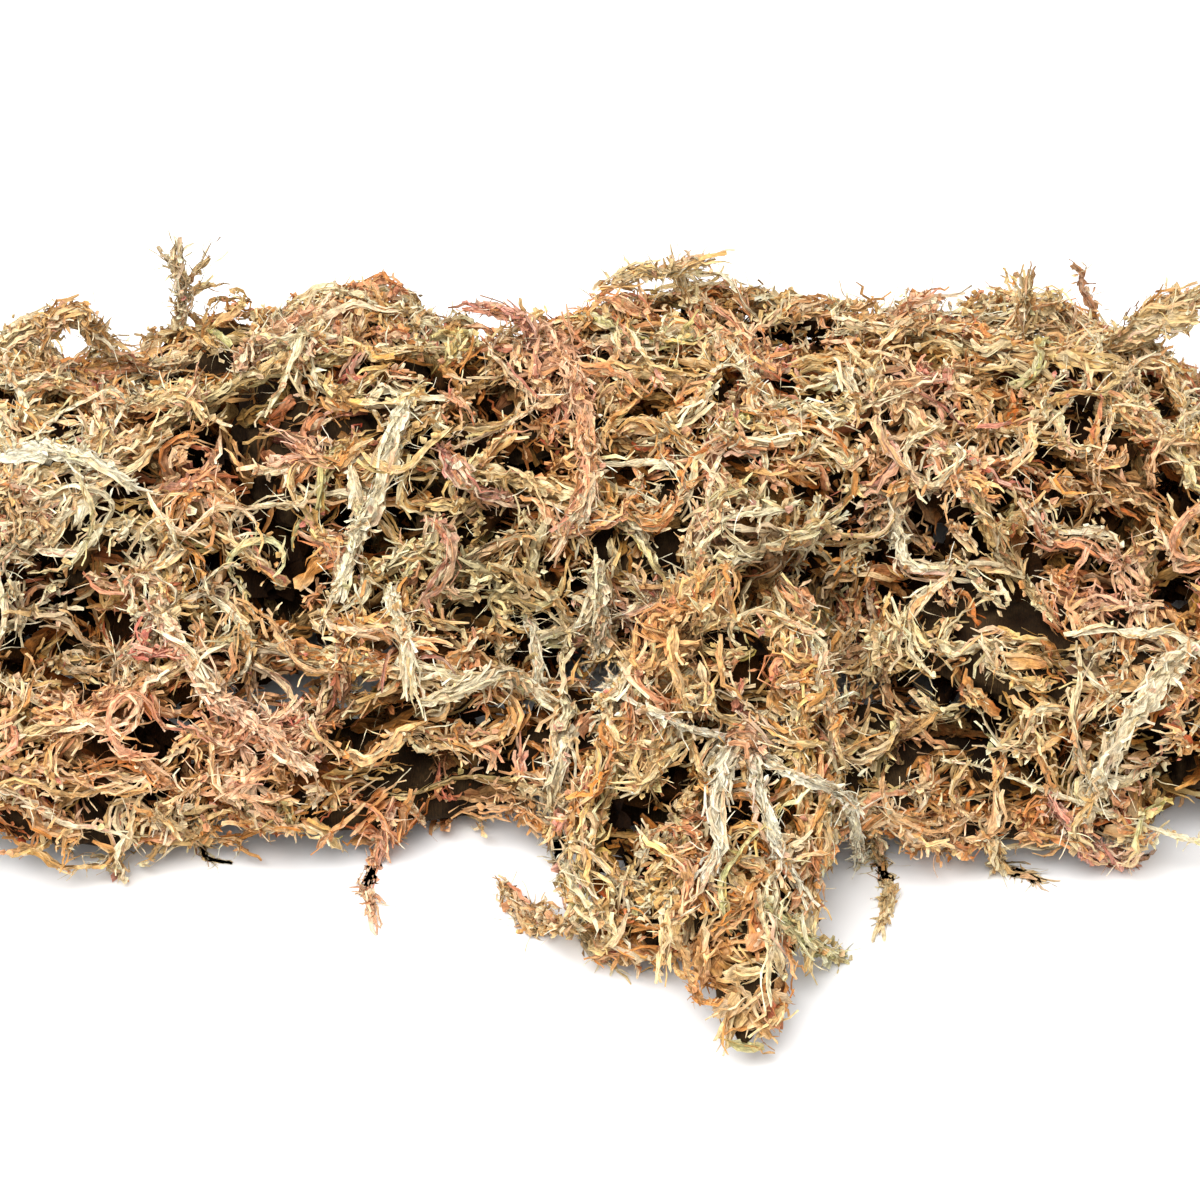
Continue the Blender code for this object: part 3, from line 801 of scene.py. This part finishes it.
def tuft_body(name):
    """The node's shape, shrunk, finely divided and roughened into matted ridges, and coloured near black
    as painted shade.
    """
    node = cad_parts[name]
    copy = bpy.data.objects.new("body_maker", node.data.copy())
    bpy.context.scene.collection.objects.link(copy)
    weld = copy.modifiers.new("weld", "WELD")
    weld.merge_threshold = 0.00001
    smooth = copy.modifiers.new("smooth", "SUBSURF")
    smooth.levels = BODY_LEVELS
    smooth.render_levels = BODY_LEVELS
    graph = bpy.context.evaluated_depsgraph_get()
    mesh = copy.evaluated_get(graph).to_mesh()
    points = np.array([vertex.co for vertex in mesh.vertices], float)
    normals = np.array([vertex.normal for vertex in mesh.vertices], float)
    mesh.calc_loop_triangles()
    triangles = np.array([triangle.vertices for triangle in mesh.loop_triangles], int)
    copy.evaluated_get(graph).to_mesh_clear()
    bpy.data.objects.remove(copy)
    crest = 0.6 * ridged(points, BODY_COARSE, noises[4]) + 0.4 * ridged(points, BODY_FINE, noises[5])
    points = points + normals * (BODY_RELIEF * (crest - 0.75) - BODY_SINK)[:, None]
    # painted shade: near black in the grooves, a little lighter on the ridges
    tint = blend(BODY_SHADE, BODY_CREST_SHADE, np.clip(crest * 2.2 - 1.2, 0, 1))
    grain = np.zeros(points.shape)
    grain[:, :2] = points[:, :2] / MM
    return stay_up(points), triangles, tint, grain


# Short shoots that cover the bodies
COVER_COUNT = 75          # on each tuft
COVER_LEAST = 0.1         # share of them on the undersides, against the tops
COVER_RINGS = 7
COVER_STEP = mm(1.0, 1.5)
COVER_CURVE = 25 * MM     # the radius that they bend to
COVER = DEEP._replace(ply_width=0.8, barks=4)


def body_cover(rng, name, owner):
    """Short shoots that lie all over a tuft's body, so that it is nowhere bare."""
    points, triangles = node_mesh(name)
    corners = points[triangles]
    normals = np.cross(corners[:, 1] - corners[:, 0], corners[:, 2] - corners[:, 0])
    area = np.linalg.norm(normals, axis=-1)
    share = area * np.clip(unit(normals)[:, 2] + 0.6, COVER_LEAST, 1)
    chosen = rng.choice(len(area), COVER_COUNT, p=share / share.sum())
    weights = rng.dirichlet((1, 1, 1), COVER_COUNT)
    start = np.einsum("nw,nwx->nx", weights, corners[chosen])
    normal = unit(normals[chosen])
    heading = squared(rng.normal(0, 1, start.shape), normal)
    along = (np.arange(COVER_RINGS) - COVER_RINGS // 2) * rng.uniform(*COVER_STEP, (COVER_COUNT, 1))
    drop = along ** 2 / (2 * COVER_CURVE) + rng.uniform(0.2 * MM, 1.4 * MM, (COVER_COUNT, 1))
    line = start[:, None] + heading[:, None] * along[..., None] - normal[:, None] * drop[..., None]
    radius = rng.uniform(1.2 * MM, 2.3 * MM, (COVER_COUNT, 1)) * ends_taper(COVER_RINGS, 0.5, 0.5)
    line[..., 2] = np.maximum(line[..., 2], 0.6 * radius)
    normals = np.repeat(normal[:, None], COVER_RINGS, axis=1)
    base = patch_colours(rng, start, DEEP_SHARES)
    owners = np.full(COVER_COUNT, owner)
    return rope_stacks(Rope(rng, line, normals, radius, base, 0.1, owners), COVER)


def node_line(name):
    """A long node's centreline: the mean of its corners at each place along its length."""
    points, triangles = node_mesh(name)
    welded, index = np.unique(points.round(6), axis=0, return_inverse=True)
    corners = index.ravel()[triangles]
    neighbours = [set() for _ in welded]
    for a, b, c in corners:
        neighbours[a] |= {b, c}
        neighbours[b] |= {a, c}
        neighbours[c] |= {a, b}
    fewest = max(range(len(welded)), key=lambda k: np.linalg.norm(welded[k] - welded.mean(axis=0)))
    level, front, seen = [], {fewest}, {fewest}
    while front:
        level.append(welded[sorted(front)].mean(axis=0))
        front = {n for k in front for n in neighbours[k]} - seen
        seen |= front
    return np.array(level)


def resampled(line, step):
    """A smooth line through points, with a point every step."""
    run = np.concatenate(([0], np.cumsum(np.linalg.norm(np.diff(line, axis=0), axis=1))))
    places = np.linspace(0, run[-1], max(LEAST_RINGS, int(run[-1] / step)))
    fine = np.stack([np.interp(places, run, line[:, axis]) for axis in range(3)], axis=1)
    for _ in range(NODE_EASING):
        fine = eased(fine)
    return fine


STRAND_STEP = 1.2 * MM
STRAND_RADIUS = mm(2.0, 2.9)
STEM_STEP = 1.0 * MM
STEM_RADIUS = 0.60 * MM
STUB = CURL._replace(length=mm(1.2, 3.2), half_width=mm(0.15, 0.30))
UPRIGHT = np.array((0, 0, 1.0))

# How much a strand, stem or landmark carries to a ring
PER_RING = ("barks", "curls", "leaves", "fibres")
STRAND = MOSSY._replace(plies=3, ply_width=0.55, barks=1.8, curls=0.5, leaves=1.5, fibres=0.334,
                        leaf=mm(0.9, 2.1))
STEM = PALE._replace(plies=4, ply_width=0.9, barks=0, curls=2, leaves=0, fibres=0.25, curl=STUB)
WHITE_CORD = PALE._replace(plies=4, ply_width=0.75, barks=1.2, curls=0.5, leaves=0.5, fibres=0.5)
LEAFY_CORD = WHITE_CORD._replace(plies=3, ply_width=0.55, barks=2.2, curls=1.0, leaves=2.0)
THIN_CORD = WHITE_CORD._replace(plies=3, ply_width=0.9, barks=0.3, curls=0.6, leaves=0.4)
NEEDLE_CORD = WHITE_CORD._replace(plies=3, ply_width=1.0, barks=0, curls=0, leaves=0, fibres=0)


def long_rope_stacks(rope, make):
    """All that a long shoot carries, whose make counts it by the ring."""
    counts = {key: int(rope.rings * getattr(make, key)) for key in PER_RING}
    return rope_stacks(rope, make._replace(**counts))


def strand_piece(rng, field, name, owner):
    """A long shoot: a thick rope of plies with branches, leaves and curled fibres."""
    line = resampled(node_line(name), STRAND_STEP)[None]
    rings = line.shape[1]
    normals = unit(0.4 * field.outwards(line) + UPRIGHT)
    radius = rng.uniform(*STRAND_RADIUS) * np.ones((1, rings))
    radius = radius * ends_taper(rings, 0.4, 0.4) * (1 + 0.3 * smooth_luck(rng, (1, rings), 3))
    base = patch_colours(rng, line[:, rings // 2], MOSSY_SHARES)
    base = blend(base, CREAM, np.array([rng.uniform(0.2, 0.7)]))
    rope = Rope(rng, line, normals, radius, base, rng.uniform(-0.10, 0.10), np.array([owner]))
    return long_rope_stacks(rope, STRAND)


def stem_piece(rng, name, owner):
    """A bare stem: a thin pale rope with the stubs of its branches."""
    line = resampled(node_line(name), STEM_STEP)[None]
    rings = line.shape[1]
    normals = np.zeros(line.shape) + UPRIGHT
    radius = STEM_RADIUS * np.ones((1, rings)) * ends_taper(rings, 0.7, 0.5)
    rope = Rope(rng, line, normals, radius, np.array([CREAM]), 0.03, np.array([owner]))
    return long_rope_stacks(rope, STEM)


# Landmarks: single shoots that the photograph shows, by the pixels that they run through, with
# their radius and lift in mm. Those called edge are loose ends on the floor at the front edge.
Landmark = namedtuple("Landmark", "pixels radius colour make lift", defaults=(0,))
LANDMARK_OWNER = -3
LANDMARKS = {
    "v_left": (((737, 741), (724, 775), (715, 805), (707, 845), (700, 884)), 1.9, WHITE,
                       WHITE_CORD, 4.5),
    "v_middle": (((750, 745), (762, 805), (772, 835), (783, 862), (799, 887)), 1.3, WHITE,
                         WHITE_CORD, 3.6),
    "v_right": (((762, 752), (800, 780), (830, 792), (850, 815), (866, 852)), 1.2, WHITE,
                        WHITE_CORD, 3.6),
    "v_cap": (((733, 741), (748, 744), (770, 750)), 3.4, SALMON, LEAFY_CORD, 4.6),
    "v_stem": (((600, 690), (645, 709), (690, 728), (733, 742)), 0.8, WHITE, THIN_CORD, 4.0),
    "fork_long": (((410, 400), (396, 440), (381, 480), (357, 545), (335, 606)), 2.0, CREAM,
                          WHITE_CORD, 2.4),
    "fork_short": (((352, 470), (362, 500), (357, 545)), 1.2, CREAM, WHITE_CORD, 2.4),
    "pink_arch": (((545, 332), (572, 375), (588, 440), (586, 500), (560, 540)), 2.2,
                          SALMON, LEAFY_CORD, 3.0),
    "white_loop": (((580, 470), (592, 490), (588, 515), (576, 527)), 0.7, WHITE, THIN_CORD,
                           4.0),
    "pink_curve": (((438, 450), (460, 478), (488, 496), (512, 501)), 1.6, PINK, LEAFY_CORD,
                           2.4),
    "yellow_bough": (((418, 700), (455, 688), (492, 681), (520, 691), (546, 706)), 1.8,
                             CREAM, WHITE_CORD, 2.6),
    "front_cord": (((570, 735), (561, 780), (556, 825), (564, 872)), 1.8, CREAM,
                           WHITE_CORD, 2.4),
    "left_pillar": (((392, 590), (403, 640), (414, 692)), 1.8, CREAM, WHITE_CORD, 2.2),
    "left_bough": (((160, 600), (178, 650), (215, 695), (260, 730), (302, 762)), 2.4,
                           CREAM, LEAFY_CORD, 2.6),
    "right_bough": (((1192, 650), (1150, 690), (1112, 735), (1092, 792)), 2.6, CREAM,
                            WHITE_CORD, 2.6),
    "hook": (((893, 502), (900, 540), (908, 578), (950, 574)), 1.7, CREAM, WHITE_CORD, 3.0),
    "far_left": (((2, 462), (50, 458), (95, 466), (132, 484)), 2.2, WHITE, WHITE_CORD, 2.4),
    "middle_cord": (((524, 604), (531, 640), (536, 684)), 1.1, WHITE, WHITE_CORD, 2.2),
    "middle_bark": (((600, 560), (603, 605), (598, 655)), 1.8, CREAM, LEAFY_CORD, 2.0),
    "orange_left": (((240, 375), (275, 352), (318, 318)), 2.2, SALMON, LEAFY_CORD, 2.4),
    "needle_one": (((453, 557), (432, 588), (413, 616)), 0.4, BRICK, NEEDLE_CORD, 2.4),
    "needle_two": (((394, 650), (384, 672), (382, 692)), 0.4, BRICK, NEEDLE_CORD, 2.4),
    "needle_three": (((420, 660), (438, 661), (455, 676)), 0.4, BRICK, NEEDLE_CORD, 2.4),
    "edge_tan": (((500, 884), (520, 905), (535, 930), (552, 912), (572, 920)), 2.2, TAN,
                         LEAFY_CORD, 2.0),
    "edge_green": (((760, 905), (800, 938), (838, 956)), 1.8, GREEN, LEAFY_CORD, 0.6),
    "edge_hanger": (((868, 800), (878, 850), (890, 890), (882, 922)), 1.0, STRAW,
                            LEAFY_CORD, 1.6),
    "edge_loop": (((150, 812), (178, 820), (205, 836), (196, 852), (232, 862)), 0.9, STRAW,
                          THIN_CORD, 1.7),
    "edge_right": (((985, 830), (1008, 858), (1036, 874)), 1.4, STRAW, LEAFY_CORD, 2.2),
    "edge_pink": (((1050, 800), (1085, 840), (1130, 856)), 2.2, PINK, LEAFY_CORD, 1.0),
    "edge_left": (((390, 805), (372, 855), (366, 885), (374, 910)), 1.1, SALMON,
                          LEAFY_CORD, 1.6),
}

# Shoots that stand against the sky at the far crest
SKY_MARKS = {
    "trunk": (((182, 330), (184, 300), (182, 272), (180, 252)), 1.6, CREAM, LEAFY_CORD),
    "left_twig": (((184, 290), (178, 270), (164, 254)), 0.9, CREAM, THIN_CORD),
    "right_twig": (((184, 288), (194, 272), (210, 258)), 0.9, STRAW, THIN_CORD),
    "low_twig": (((184, 300), (200, 288), (214, 284)), 0.8, STRAW, THIN_CORD),
    "bough": (((612, 286), (640, 272), (668, 274), (700, 262)), 1.6, STRAW, LEAFY_CORD),
    "bough_twig": (((655, 276), (680, 264), (704, 256)), 1.0, SALMON, THIN_CORD),
    "bough_stump": (((690, 310), (684, 290), (676, 274)), 1.4, STRAW, LEAFY_CORD),
    "thread": (((778, 322), (820, 314), (870, 320), (918, 316)), 0.8, TAN, THIN_CORD),
    "pink": (((535, 352), (526, 322), (500, 305), (470, 298)), 1.1, PINK, LEAFY_CORD),
    "point": (((1022, 345), (1024, 318), (1026, 290), (1026, 278)), 2.0, STRAW, LEAFY_CORD),
    "curl": (((1098, 330), (1088, 300), (1078, 286), (1084, 272), (1072, 264)), 1.0,
                     SALMON, THIN_CORD),
    "knob": (((895, 322), (915, 304), (938, 300)), 1.4, SALMON, LEAFY_CORD),
    "left_one": (((4, 356), (30, 330), (70, 322), (110, 350)), 3.4, STRAW, LEAFY_CORD),
    "left_two": (((44, 345), (60, 312), (84, 306), (98, 345)), 2.2, TAN, LEAFY_CORD),
    "right_one": (((1108, 352), (1150, 326), (1196, 316)), 3.6, STRAW, LEAFY_CORD),
    "right_two": (((1128, 340), (1164, 308), (1198, 296)), 3.2, TAN, LEAFY_CORD),
    "right_three": (((1150, 340), (1168, 312), (1186, 296)), 2.4, STRAW, LEAFY_CORD),
}
SKY_FALL = 4              # pixels by which a ray is let down until it meets the crest
SKY_TOP = 70 * MM         # height above which no shoot's middle stands
SKY_BACK = 2 * MM         # how far behind the first touch the shoots stand

CAST_STEP = 0.4 * MM
CAST_START = 0.60         # of the camera's distance
CAST_REACH = 0.80         # likewise
CREST_SHARE = 0.9         # of LEVEL, which counts as a touch
HOLE_SHADE = 0.6           # share of the dark brown that is painted as shade in a hole
LANDMARK_RING = 1.0 * MM


def view_frame():
    """The camera's place, and its right, up and forward directions."""
    elevation = math.radians(VIEW_ELEVATION)
    forward = np.array((0, math.cos(elevation), -math.sin(elevation)))
    up = np.array((0, math.sin(elevation), math.cos(elevation)))
    distance = PHOTO_SIDE / PIXELS_PER_MM * MM * LENS / SENSOR
    place = np.array(VIEW_TARGET) - distance * forward
    return place, np.array((1.0, 0, 0)), up, forward, distance


def pixel_rays(pixels):
    """The view rays' shared start, and the unit direction of each pixel's."""
    place, right, up, forward, _ = view_frame()
    offset = (np.array(pixels, float) - PHOTO_SIDE / 2) / PHOTO_SIDE * SENSOR / LENS
    return place, unit(forward + offset[:, :1] * right - offset[:, 1:] * up)


def under_pixels(field, pixels):
    """Where the photograph's view rays through some pixels meet the field's surface or the floor."""
    place, ray = pixel_rays(pixels)
    distance = view_frame()[4]
    reach = np.full(len(ray), CAST_START * distance)
    for _ in range(int(CAST_REACH * distance / CAST_STEP)):
        point = place + ray * reach[:, None]
        outside = (field.value_at(point) < LEVEL) & (point[:, 2] > 0)
        if not outside.any():
            break
        reach = reach + CAST_STEP * outside
    return place + ray * reach[:, None]


def above_crest(field, pixels):
    """Points on the pixels' view rays, in the upright plane where the crest's shoot is rooted."""
    column, row = pixels[0]
    point = under_pixels(field, [(column, row)])[0]
    while field.value_at(point[None])[0] < CREST_SHARE * LEVEL and row < PHOTO_SIDE / 2:
        row += SKY_FALL
        point = under_pixels(field, [(column, row)])[0]
    place, ray = pixel_rays(pixels)
    reach = (point[1] + SKY_BACK - place[1]) / ray[:, 1]
    points = place + ray * reach[:, None]
    points[:, 2] = np.minimum(points[:, 2], SKY_TOP)
    return points


def landmark_stacks(rng, field, mark, points):
    """A landmark's shoot along points, lifted a little off the clump between its ends."""
    line = resampled(points, LANDMARK_RING)[None]
    rings = line.shape[1]
    normals = unit(field.outwards(line) + 0.5 * -view_frame()[3])
    share = np.linspace(0, 1, rings)
    radius = mark.radius * MM * np.ones((1, rings)) * (1 + 0.22 * smooth_luck(rng, (1, rings), 2))
    radius = radius * ends_taper(rings, 0.5, 0.6)
    rise = 0.4 * mark.radius + mark.lift * np.sqrt(np.sin(math.pi * np.clip(share, 0.02, 0.98)))
    line = line + normals * (rise * MM)[None, :, None]
    rope = Rope(rng, line, normals, radius, np.array([mark.colour]), 0.04, np.array([LANDMARK_OWNER]))
    return long_rope_stacks(rope, mark.make)


# Painted shade in the dark holes between the shoots, by pixel and reach in mm, and patches of one colour
# likewise
Tinge = namedtuple("Tinge", "pixel reach colour strength")

HOLE_SHADE_STRENGTH = 0.92
SHADED_HOLES = {
    "above_the_v": ((735, 722), 3.0), "right_of_whorl": ((775, 565), 4.0),
    "under_left_bough": ((255, 678), 3.6), "over_left_bough": ((222, 602), 3.0),
    "under_pink_curve": ((492, 508), 3.0), "in_whorl": ((692, 636), 2.0),
    "beyond_whorl": ((825, 590), 2.6), "over_whorl": ((640, 560), 2.2),
    "right_middle": ((1010, 560), 2.4), "left_of_bough": ((130, 655), 2.4),
    "left_crest": ((150, 380), 2.4), "right_front": ((905, 750), 2.6),
    "by_right_bough": ((1085, 660), 2.4), "by_needles": ((470, 560), 2.4),
    "left_front": ((345, 700), 2.2),
}
TINGES = {
    "pink_fleck": ((295, 440), 5, PINK, 0.75), "left_crest": ((320, 330), 5, SALMON, 0.5),
    "middle_crest": ((550, 370), 8, SALMON, 0.5), "whorl": ((680, 640), 7, ORANGE, 0.6),
    "whorl_top": ((650, 620), 4, PINK, 0.6), "right_crest": ((930, 400), 9, SALMON, 0.4),
    "pink_knot": ((1110, 590), 6, PINK, 0.65), "far_right": ((1140, 470), 6, SALMON, 0.4),
    "red_left": ((210, 470), 6, BRICK, 0.4),
    "red_front_left": ((100, 720), 12, BRICK, 0.30),
    "red_under_bough": ((260, 740), 8, BRICK, 0.40),
    "red_front_edge": ((420, 860), 7, BRICK, 0.45),
    "salmon_front": ((490, 790), 6, SALMON, 0.5),
    "pink_front": ((1100, 855), 5, PINK, 0.6), "orange_tip": ((700, 975), 6, ORANGE, 0.5),
    "tan_right": ((900, 690), 8, TAN, 0.35), "pale_left": ((100, 470), 8, WHITE, 0.20),
    "cream_left": ((30, 560), 10, CREAM, 0.30),
    "cream_middle": ((740, 525), 6, CREAM, 0.5),
    "cream_hook": ((905, 520), 5, CREAM, 0.5),
    "green_middle": ((480, 565), 10, GREEN, 0.35),
    "green_left": ((210, 390), 8, GREEN, 0.3),
    "green_right": ((930, 700), 9, GREEN, 0.25),
    "orange_arch": ((560, 470), 6, ORANGE, 0.4),
}


def painted_shade_in_hollows(stacks, field):
    """Paint shade onto what lies in the dark holes, darkening it towards the dark brown."""
    pixels, reach = zip(*SHADED_HOLES.values())
    centres = under_pixels(field, pixels)
    reach = np.array(reach) * MM
    for stack in stacks:
        middle = stack.points.mean(axis=1)
        apart = np.linalg.norm(middle[:, None] - centres[None], axis=-1) / reach
        weight = HOLE_SHADE_STRENGTH * np.exp(-0.5 * apart ** 2).max(axis=1)
        # painted shade: blend towards the dark brown near each hole
        stack.tint = blend(stack.tint, SHADE_UMBER * HOLE_SHADE, weight[:, None])
    return stacks


def tinged(stacks, field):
    """Draw colours towards those of the patches around them."""
    tinges = [Tinge(*row) for row in TINGES.values()]
    centres = under_pixels(field, [tinge.pixel for tinge in tinges])
    for stack in stacks:
        middle = stack.points.mean(axis=1)
        for tinge, centre in zip(tinges, centres):
            apart = np.linalg.norm(middle - centre, axis=-1) / (tinge.reach * MM)
            weight = tinge.strength * np.exp(-0.5 * apart ** 2)
            light = stack.tint.mean(axis=-1, keepdims=True) / np.mean(tinge.colour)
            stack.tint = blend(stack.tint, tinge.colour * light, weight[:, None])
    return stacks


# The moss material
MOSS_SPECULAR = 0.12
GRAIN_STRETCH = (2.6, 0.45, 1.0)   # of the grain across, along and between items
STREAK_SCALE = 1.6
STREAK_DETAIL = 2
MOTTLE_SCALE = 900                 # to the metre
MOTTLE_DETAIL = 3
MOTTLE_ROUGHNESS = 0.65
NOISE_LOW, NOISE_HIGH = 0.30, 0.70
BUMP_STRENGTH = 0.8
BUMP_DISTANCE = 0.35 * MM


def add_node(tree, kind, inputs, operation=None):
    """A shader node, with its inputs set to constants or joined to other nodes' outputs."""
    node = tree.nodes.new("ShaderNode" + kind)
    if operation:
        node.operation = operation
    for key, value in inputs.items():
        if isinstance(value, bpy.types.NodeSocket):
            tree.links.new(value, node.inputs[key])
        else:
            node.inputs[key].default_value = value
    return node


def attribute(tree, name):
    node = add_node(tree, "Attribute", {})
    node.attribute_name = name
    return node


def noise_factor(tree, noise, low, high):
    """A factor from low to high that follows a noise."""
    return add_node(tree, "MapRange", {"Value": noise.outputs[0], "From Min": NOISE_LOW,
                                       "From Max": NOISE_HIGH, "To Min": low, "To Max": high})


def moss_material(name, streak, mottle, rough):
    """Dried moss: the mesh's own tint, streaked along the fibres, mottled and finely bumped."""
    material = bpy.data.materials.new(name)
    material.use_nodes = True
    tree = material.node_tree
    shader = tree.nodes["Principled BSDF"]
    shader.inputs["Roughness"].default_value = rough
    shader.inputs["Specular IOR Level"].default_value = MOSS_SPECULAR
    grain = attribute(tree, "grain")
    stretch = add_node(tree, "VectorMath", {0: grain.outputs["Vector"], 1: GRAIN_STRETCH}, "MULTIPLY")
    streaks = add_node(tree, "TexNoise", {"Vector": stretch.outputs[0], "Scale": STREAK_SCALE,
                                          "Detail": STREAK_DETAIL})
    place = add_node(tree, "TexCoord", {})
    mottles = add_node(tree, "TexNoise", {"Vector": place.outputs["Object"], "Scale": MOTTLE_SCALE,
                                          "Detail": MOTTLE_DETAIL, "Roughness": MOTTLE_ROUGHNESS})
    streak_light = noise_factor(tree, streaks, 1 - streak, 1 + streak)
    mottle_light = noise_factor(tree, mottles, 1 - mottle, 1 + mottle * 0.5)
    light = add_node(tree, "Math", {0: streak_light.outputs[0], 1: mottle_light.outputs[0]}, "MULTIPLY")
    tint = attribute(tree, "tint")
    coloured = add_node(tree, "VectorMath", {0: tint.outputs["Color"], "Scale": light.outputs[0]},
                        "SCALE")
    capped = add_node(tree, "VectorMath", {0: coloured.outputs[0], 1: BRIGHTEST}, "MINIMUM")
    height = add_node(tree, "Math", {0: streaks.outputs[0], 1: mottles.outputs[0]}, "ADD")
    bump = add_node(tree, "Bump", {"Height": height.outputs[0], "Strength": BUMP_STRENGTH,
                                   "Distance": BUMP_DISTANCE})
    tree.links.new(capped.outputs[0], shader.inputs["Base Color"])
    tree.links.new(bump.outputs["Normal"], shader.inputs["Normal"])
    return material


def add_piece(name, parts, material):
    """One mesh object from parts, each a (points, triangles, tint, grain)."""
    offsets = np.cumsum([0] + [len(part[0]) for part in parts[:-1]])
    points = np.concatenate([part[0] for part in parts])
    triangles = np.concatenate([part[1] + offset for part, offset in zip(parts, offsets)])
    tint = np.concatenate([part[2] for part in parts])
    grain = np.concatenate([part[3] for part in parts])
    mesh = bpy.data.meshes.new(name)
    mesh.vertices.add(len(points))
    mesh.vertices.foreach_set("co", points.astype(np.float32).ravel())
    mesh.loops.add(triangles.size)
    mesh.loops.foreach_set("vertex_index", triangles.astype(np.int32).ravel())
    mesh.polygons.add(len(triangles))
    mesh.polygons.foreach_set("loop_start", np.arange(0, triangles.size, 3, dtype=np.int32))
    mesh.update(calc_edges=True)
    mesh.shade_smooth()
    colours = mesh.attributes.new("tint", "FLOAT_COLOR", "POINT")
    rgba = np.concatenate((np.clip(tint, 0, 1), np.ones((len(tint), 1))), axis=1)
    colours.data.foreach_set("color", rgba.astype(np.float32).ravel())
    grains = mesh.attributes.new("grain", "FLOAT_VECTOR", "POINT")
    grains.data.foreach_set("vector", grain.astype(np.float32).ravel())
    mesh.materials.append(material)
    piece = bpy.data.objects.new(name, mesh)
    bpy.context.scene.collection.objects.link(piece)
    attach(piece, "root")
    return piece


def parts_of(stacks, number):
    """The items of one piece, out of all stacks."""
    parts = []
    for stack in stacks:
        mine = np.flatnonzero(stack.owner == number)
        if not len(mine):
            continue
        corners = stack.points.shape[1]
        triangles = stack.triangles[None] + (np.arange(len(mine)) * corners)[:, None, None]
        parts.append((stack.points[mine].reshape(-1, 3), triangles.reshape(-1, 3),
                      stack.tint[mine].reshape(-1, 3), stack.grain[mine].reshape(-1, 3)))
    return parts


FLOOR_SIZE = 30
FLOOR_DROP = 0.05 * MM    # it lies that much under the moss
FLOOR_COLOUR = (0.93, 0.93, 0.93, 1)
SKY_STRENGTH = 0.86
LAMP_SIZE = (0.9, 0.6)
LAMP_POWER = 14           # watts
LAMP_PLACE = (-0.25, -0.35, 0.95)


def add_floor():
    """A wide white floor."""
    bpy.ops.mesh.primitive_plane_add(size=FLOOR_SIZE, location=(0, 0, -FLOOR_DROP))
    floor = bpy.context.object
    floor.name = "floor"
    material = bpy.data.materials.new("floor_white")
    material.use_nodes = True
    shader = material.node_tree.nodes["Principled BSDF"]
    shader.inputs["Base Color"].default_value = FLOOR_COLOUR
    shader.inputs["Roughness"].default_value = 0.7
    floor.data.materials.append(material)


def add_light():
    """An even white sky, and a large soft lamp to the left of the camera."""
    world = bpy.data.worlds.new("studio")
    world.use_nodes = True
    world.node_tree.nodes["Background"].inputs["Color"].default_value = (1, 1, 1, 1)
    world.node_tree.nodes["Background"].inputs["Strength"].default_value = SKY_STRENGTH
    bpy.context.scene.world = world
    lamp = bpy.data.lights.new("softbox", "AREA")
    lamp.shape = "RECTANGLE"
    lamp.size, lamp.size_y = LAMP_SIZE
    lamp.energy = LAMP_POWER
    softbox = bpy.data.objects.new("softbox", lamp)
    softbox.location = LAMP_PLACE
    softbox.rotation_euler = (-Vector(LAMP_PLACE)).to_track_quat("-Z", "Y").to_euler()
    bpy.context.scene.collection.objects.link(softbox)


def add_camera():
    """The photograph's view: from the front and above, a square frame 240 mm wide."""
    camera_data = bpy.data.cameras.new("camera")
    camera_data.lens = LENS
    camera_data.sensor_width = SENSOR
    camera = bpy.data.objects.new("camera", camera_data)
    camera.location = view_frame()[0]
    camera.rotation_euler = (math.radians(90 - VIEW_ELEVATION), 0, 0)
    bpy.context.scene.collection.objects.link(camera)
    bpy.context.scene.camera = camera


def all_stacks(names, field, rng):
    """Every item of every piece, coloured."""
    mossy_stacks, mossy_ropes = shoots(field, rng, MOSSY)
    stacks = mossy_stacks + branchlets(rng, mossy_ropes)
    for batch in (PALE, SCRAPS, DEEP):
        stacks += shoots(field, rng, batch)[0]
    for number, name in enumerate(names):
        if name.startswith("strand"):
            stacks += strand_piece(rng, field, name, number)
        if name.startswith("stem"):
            stacks += stem_piece(rng, name, number)
        if "tuft" in name:
            stacks += body_cover(rng, name, number)
    stacks = shaded_by_depth(stacks, field, rng)
    for mark in itertools.starmap(Landmark, LANDMARKS.values()):
        stacks += landmark_stacks(rng, field, mark, under_pixels(field, mark.pixels))
    for mark in itertools.starmap(Landmark, SKY_MARKS.values()):
        stacks += landmark_stacks(rng, field, mark, above_crest(field, mark.pixels))
    stacks = painted_shade_in_hollows(tinged(stacks, field), field)
    return stacks + [shaded_felt_wads(field, rng)]


def slot_of(name):
    """The material slot of a node."""
    if "tuft" in name:
        return "matted_moss"
    return "bare_stem" if name.startswith("stem") else "strand_moss"


def build():
    """One piece for each node, and the two loose pieces that belong to none."""
    names = sorted(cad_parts)
    stacks = all_stacks(names, Field(names), np.random.default_rng(SEED))
    materials = {"matted_moss": moss_material("dried_matted_moss", 0.35, 0.35, 0.9),
                 "strand_moss": moss_material("dried_moss_strands", 0.45, 0.28, 0.85),
                 "bare_stem": moss_material("bare_moss_stems", 0.25, 0.22, 0.75)}
    for number, name in enumerate(names):
        parts = parts_of(stacks, number)
        if "tuft" in name:
            parts.append(tuft_body(name))
        slot = slot_of(name)
        piece = add_piece("moss_" + name, parts, materials[slot])
        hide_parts(name)
    for name, number, slot in (("loose_shaded_felt_in_gaps", WAD_OWNER, "matted_moss"),
                               ("loose_strands_on_top", LANDMARK_OWNER, "strand_moss")):
        piece = add_piece(name, parts_of(stacks, number), materials[slot])


build()
add_floor()
add_light()
add_camera()
bpy.context.scene.view_settings.view_transform = "Standard"

bpy.context.view_layer.update()
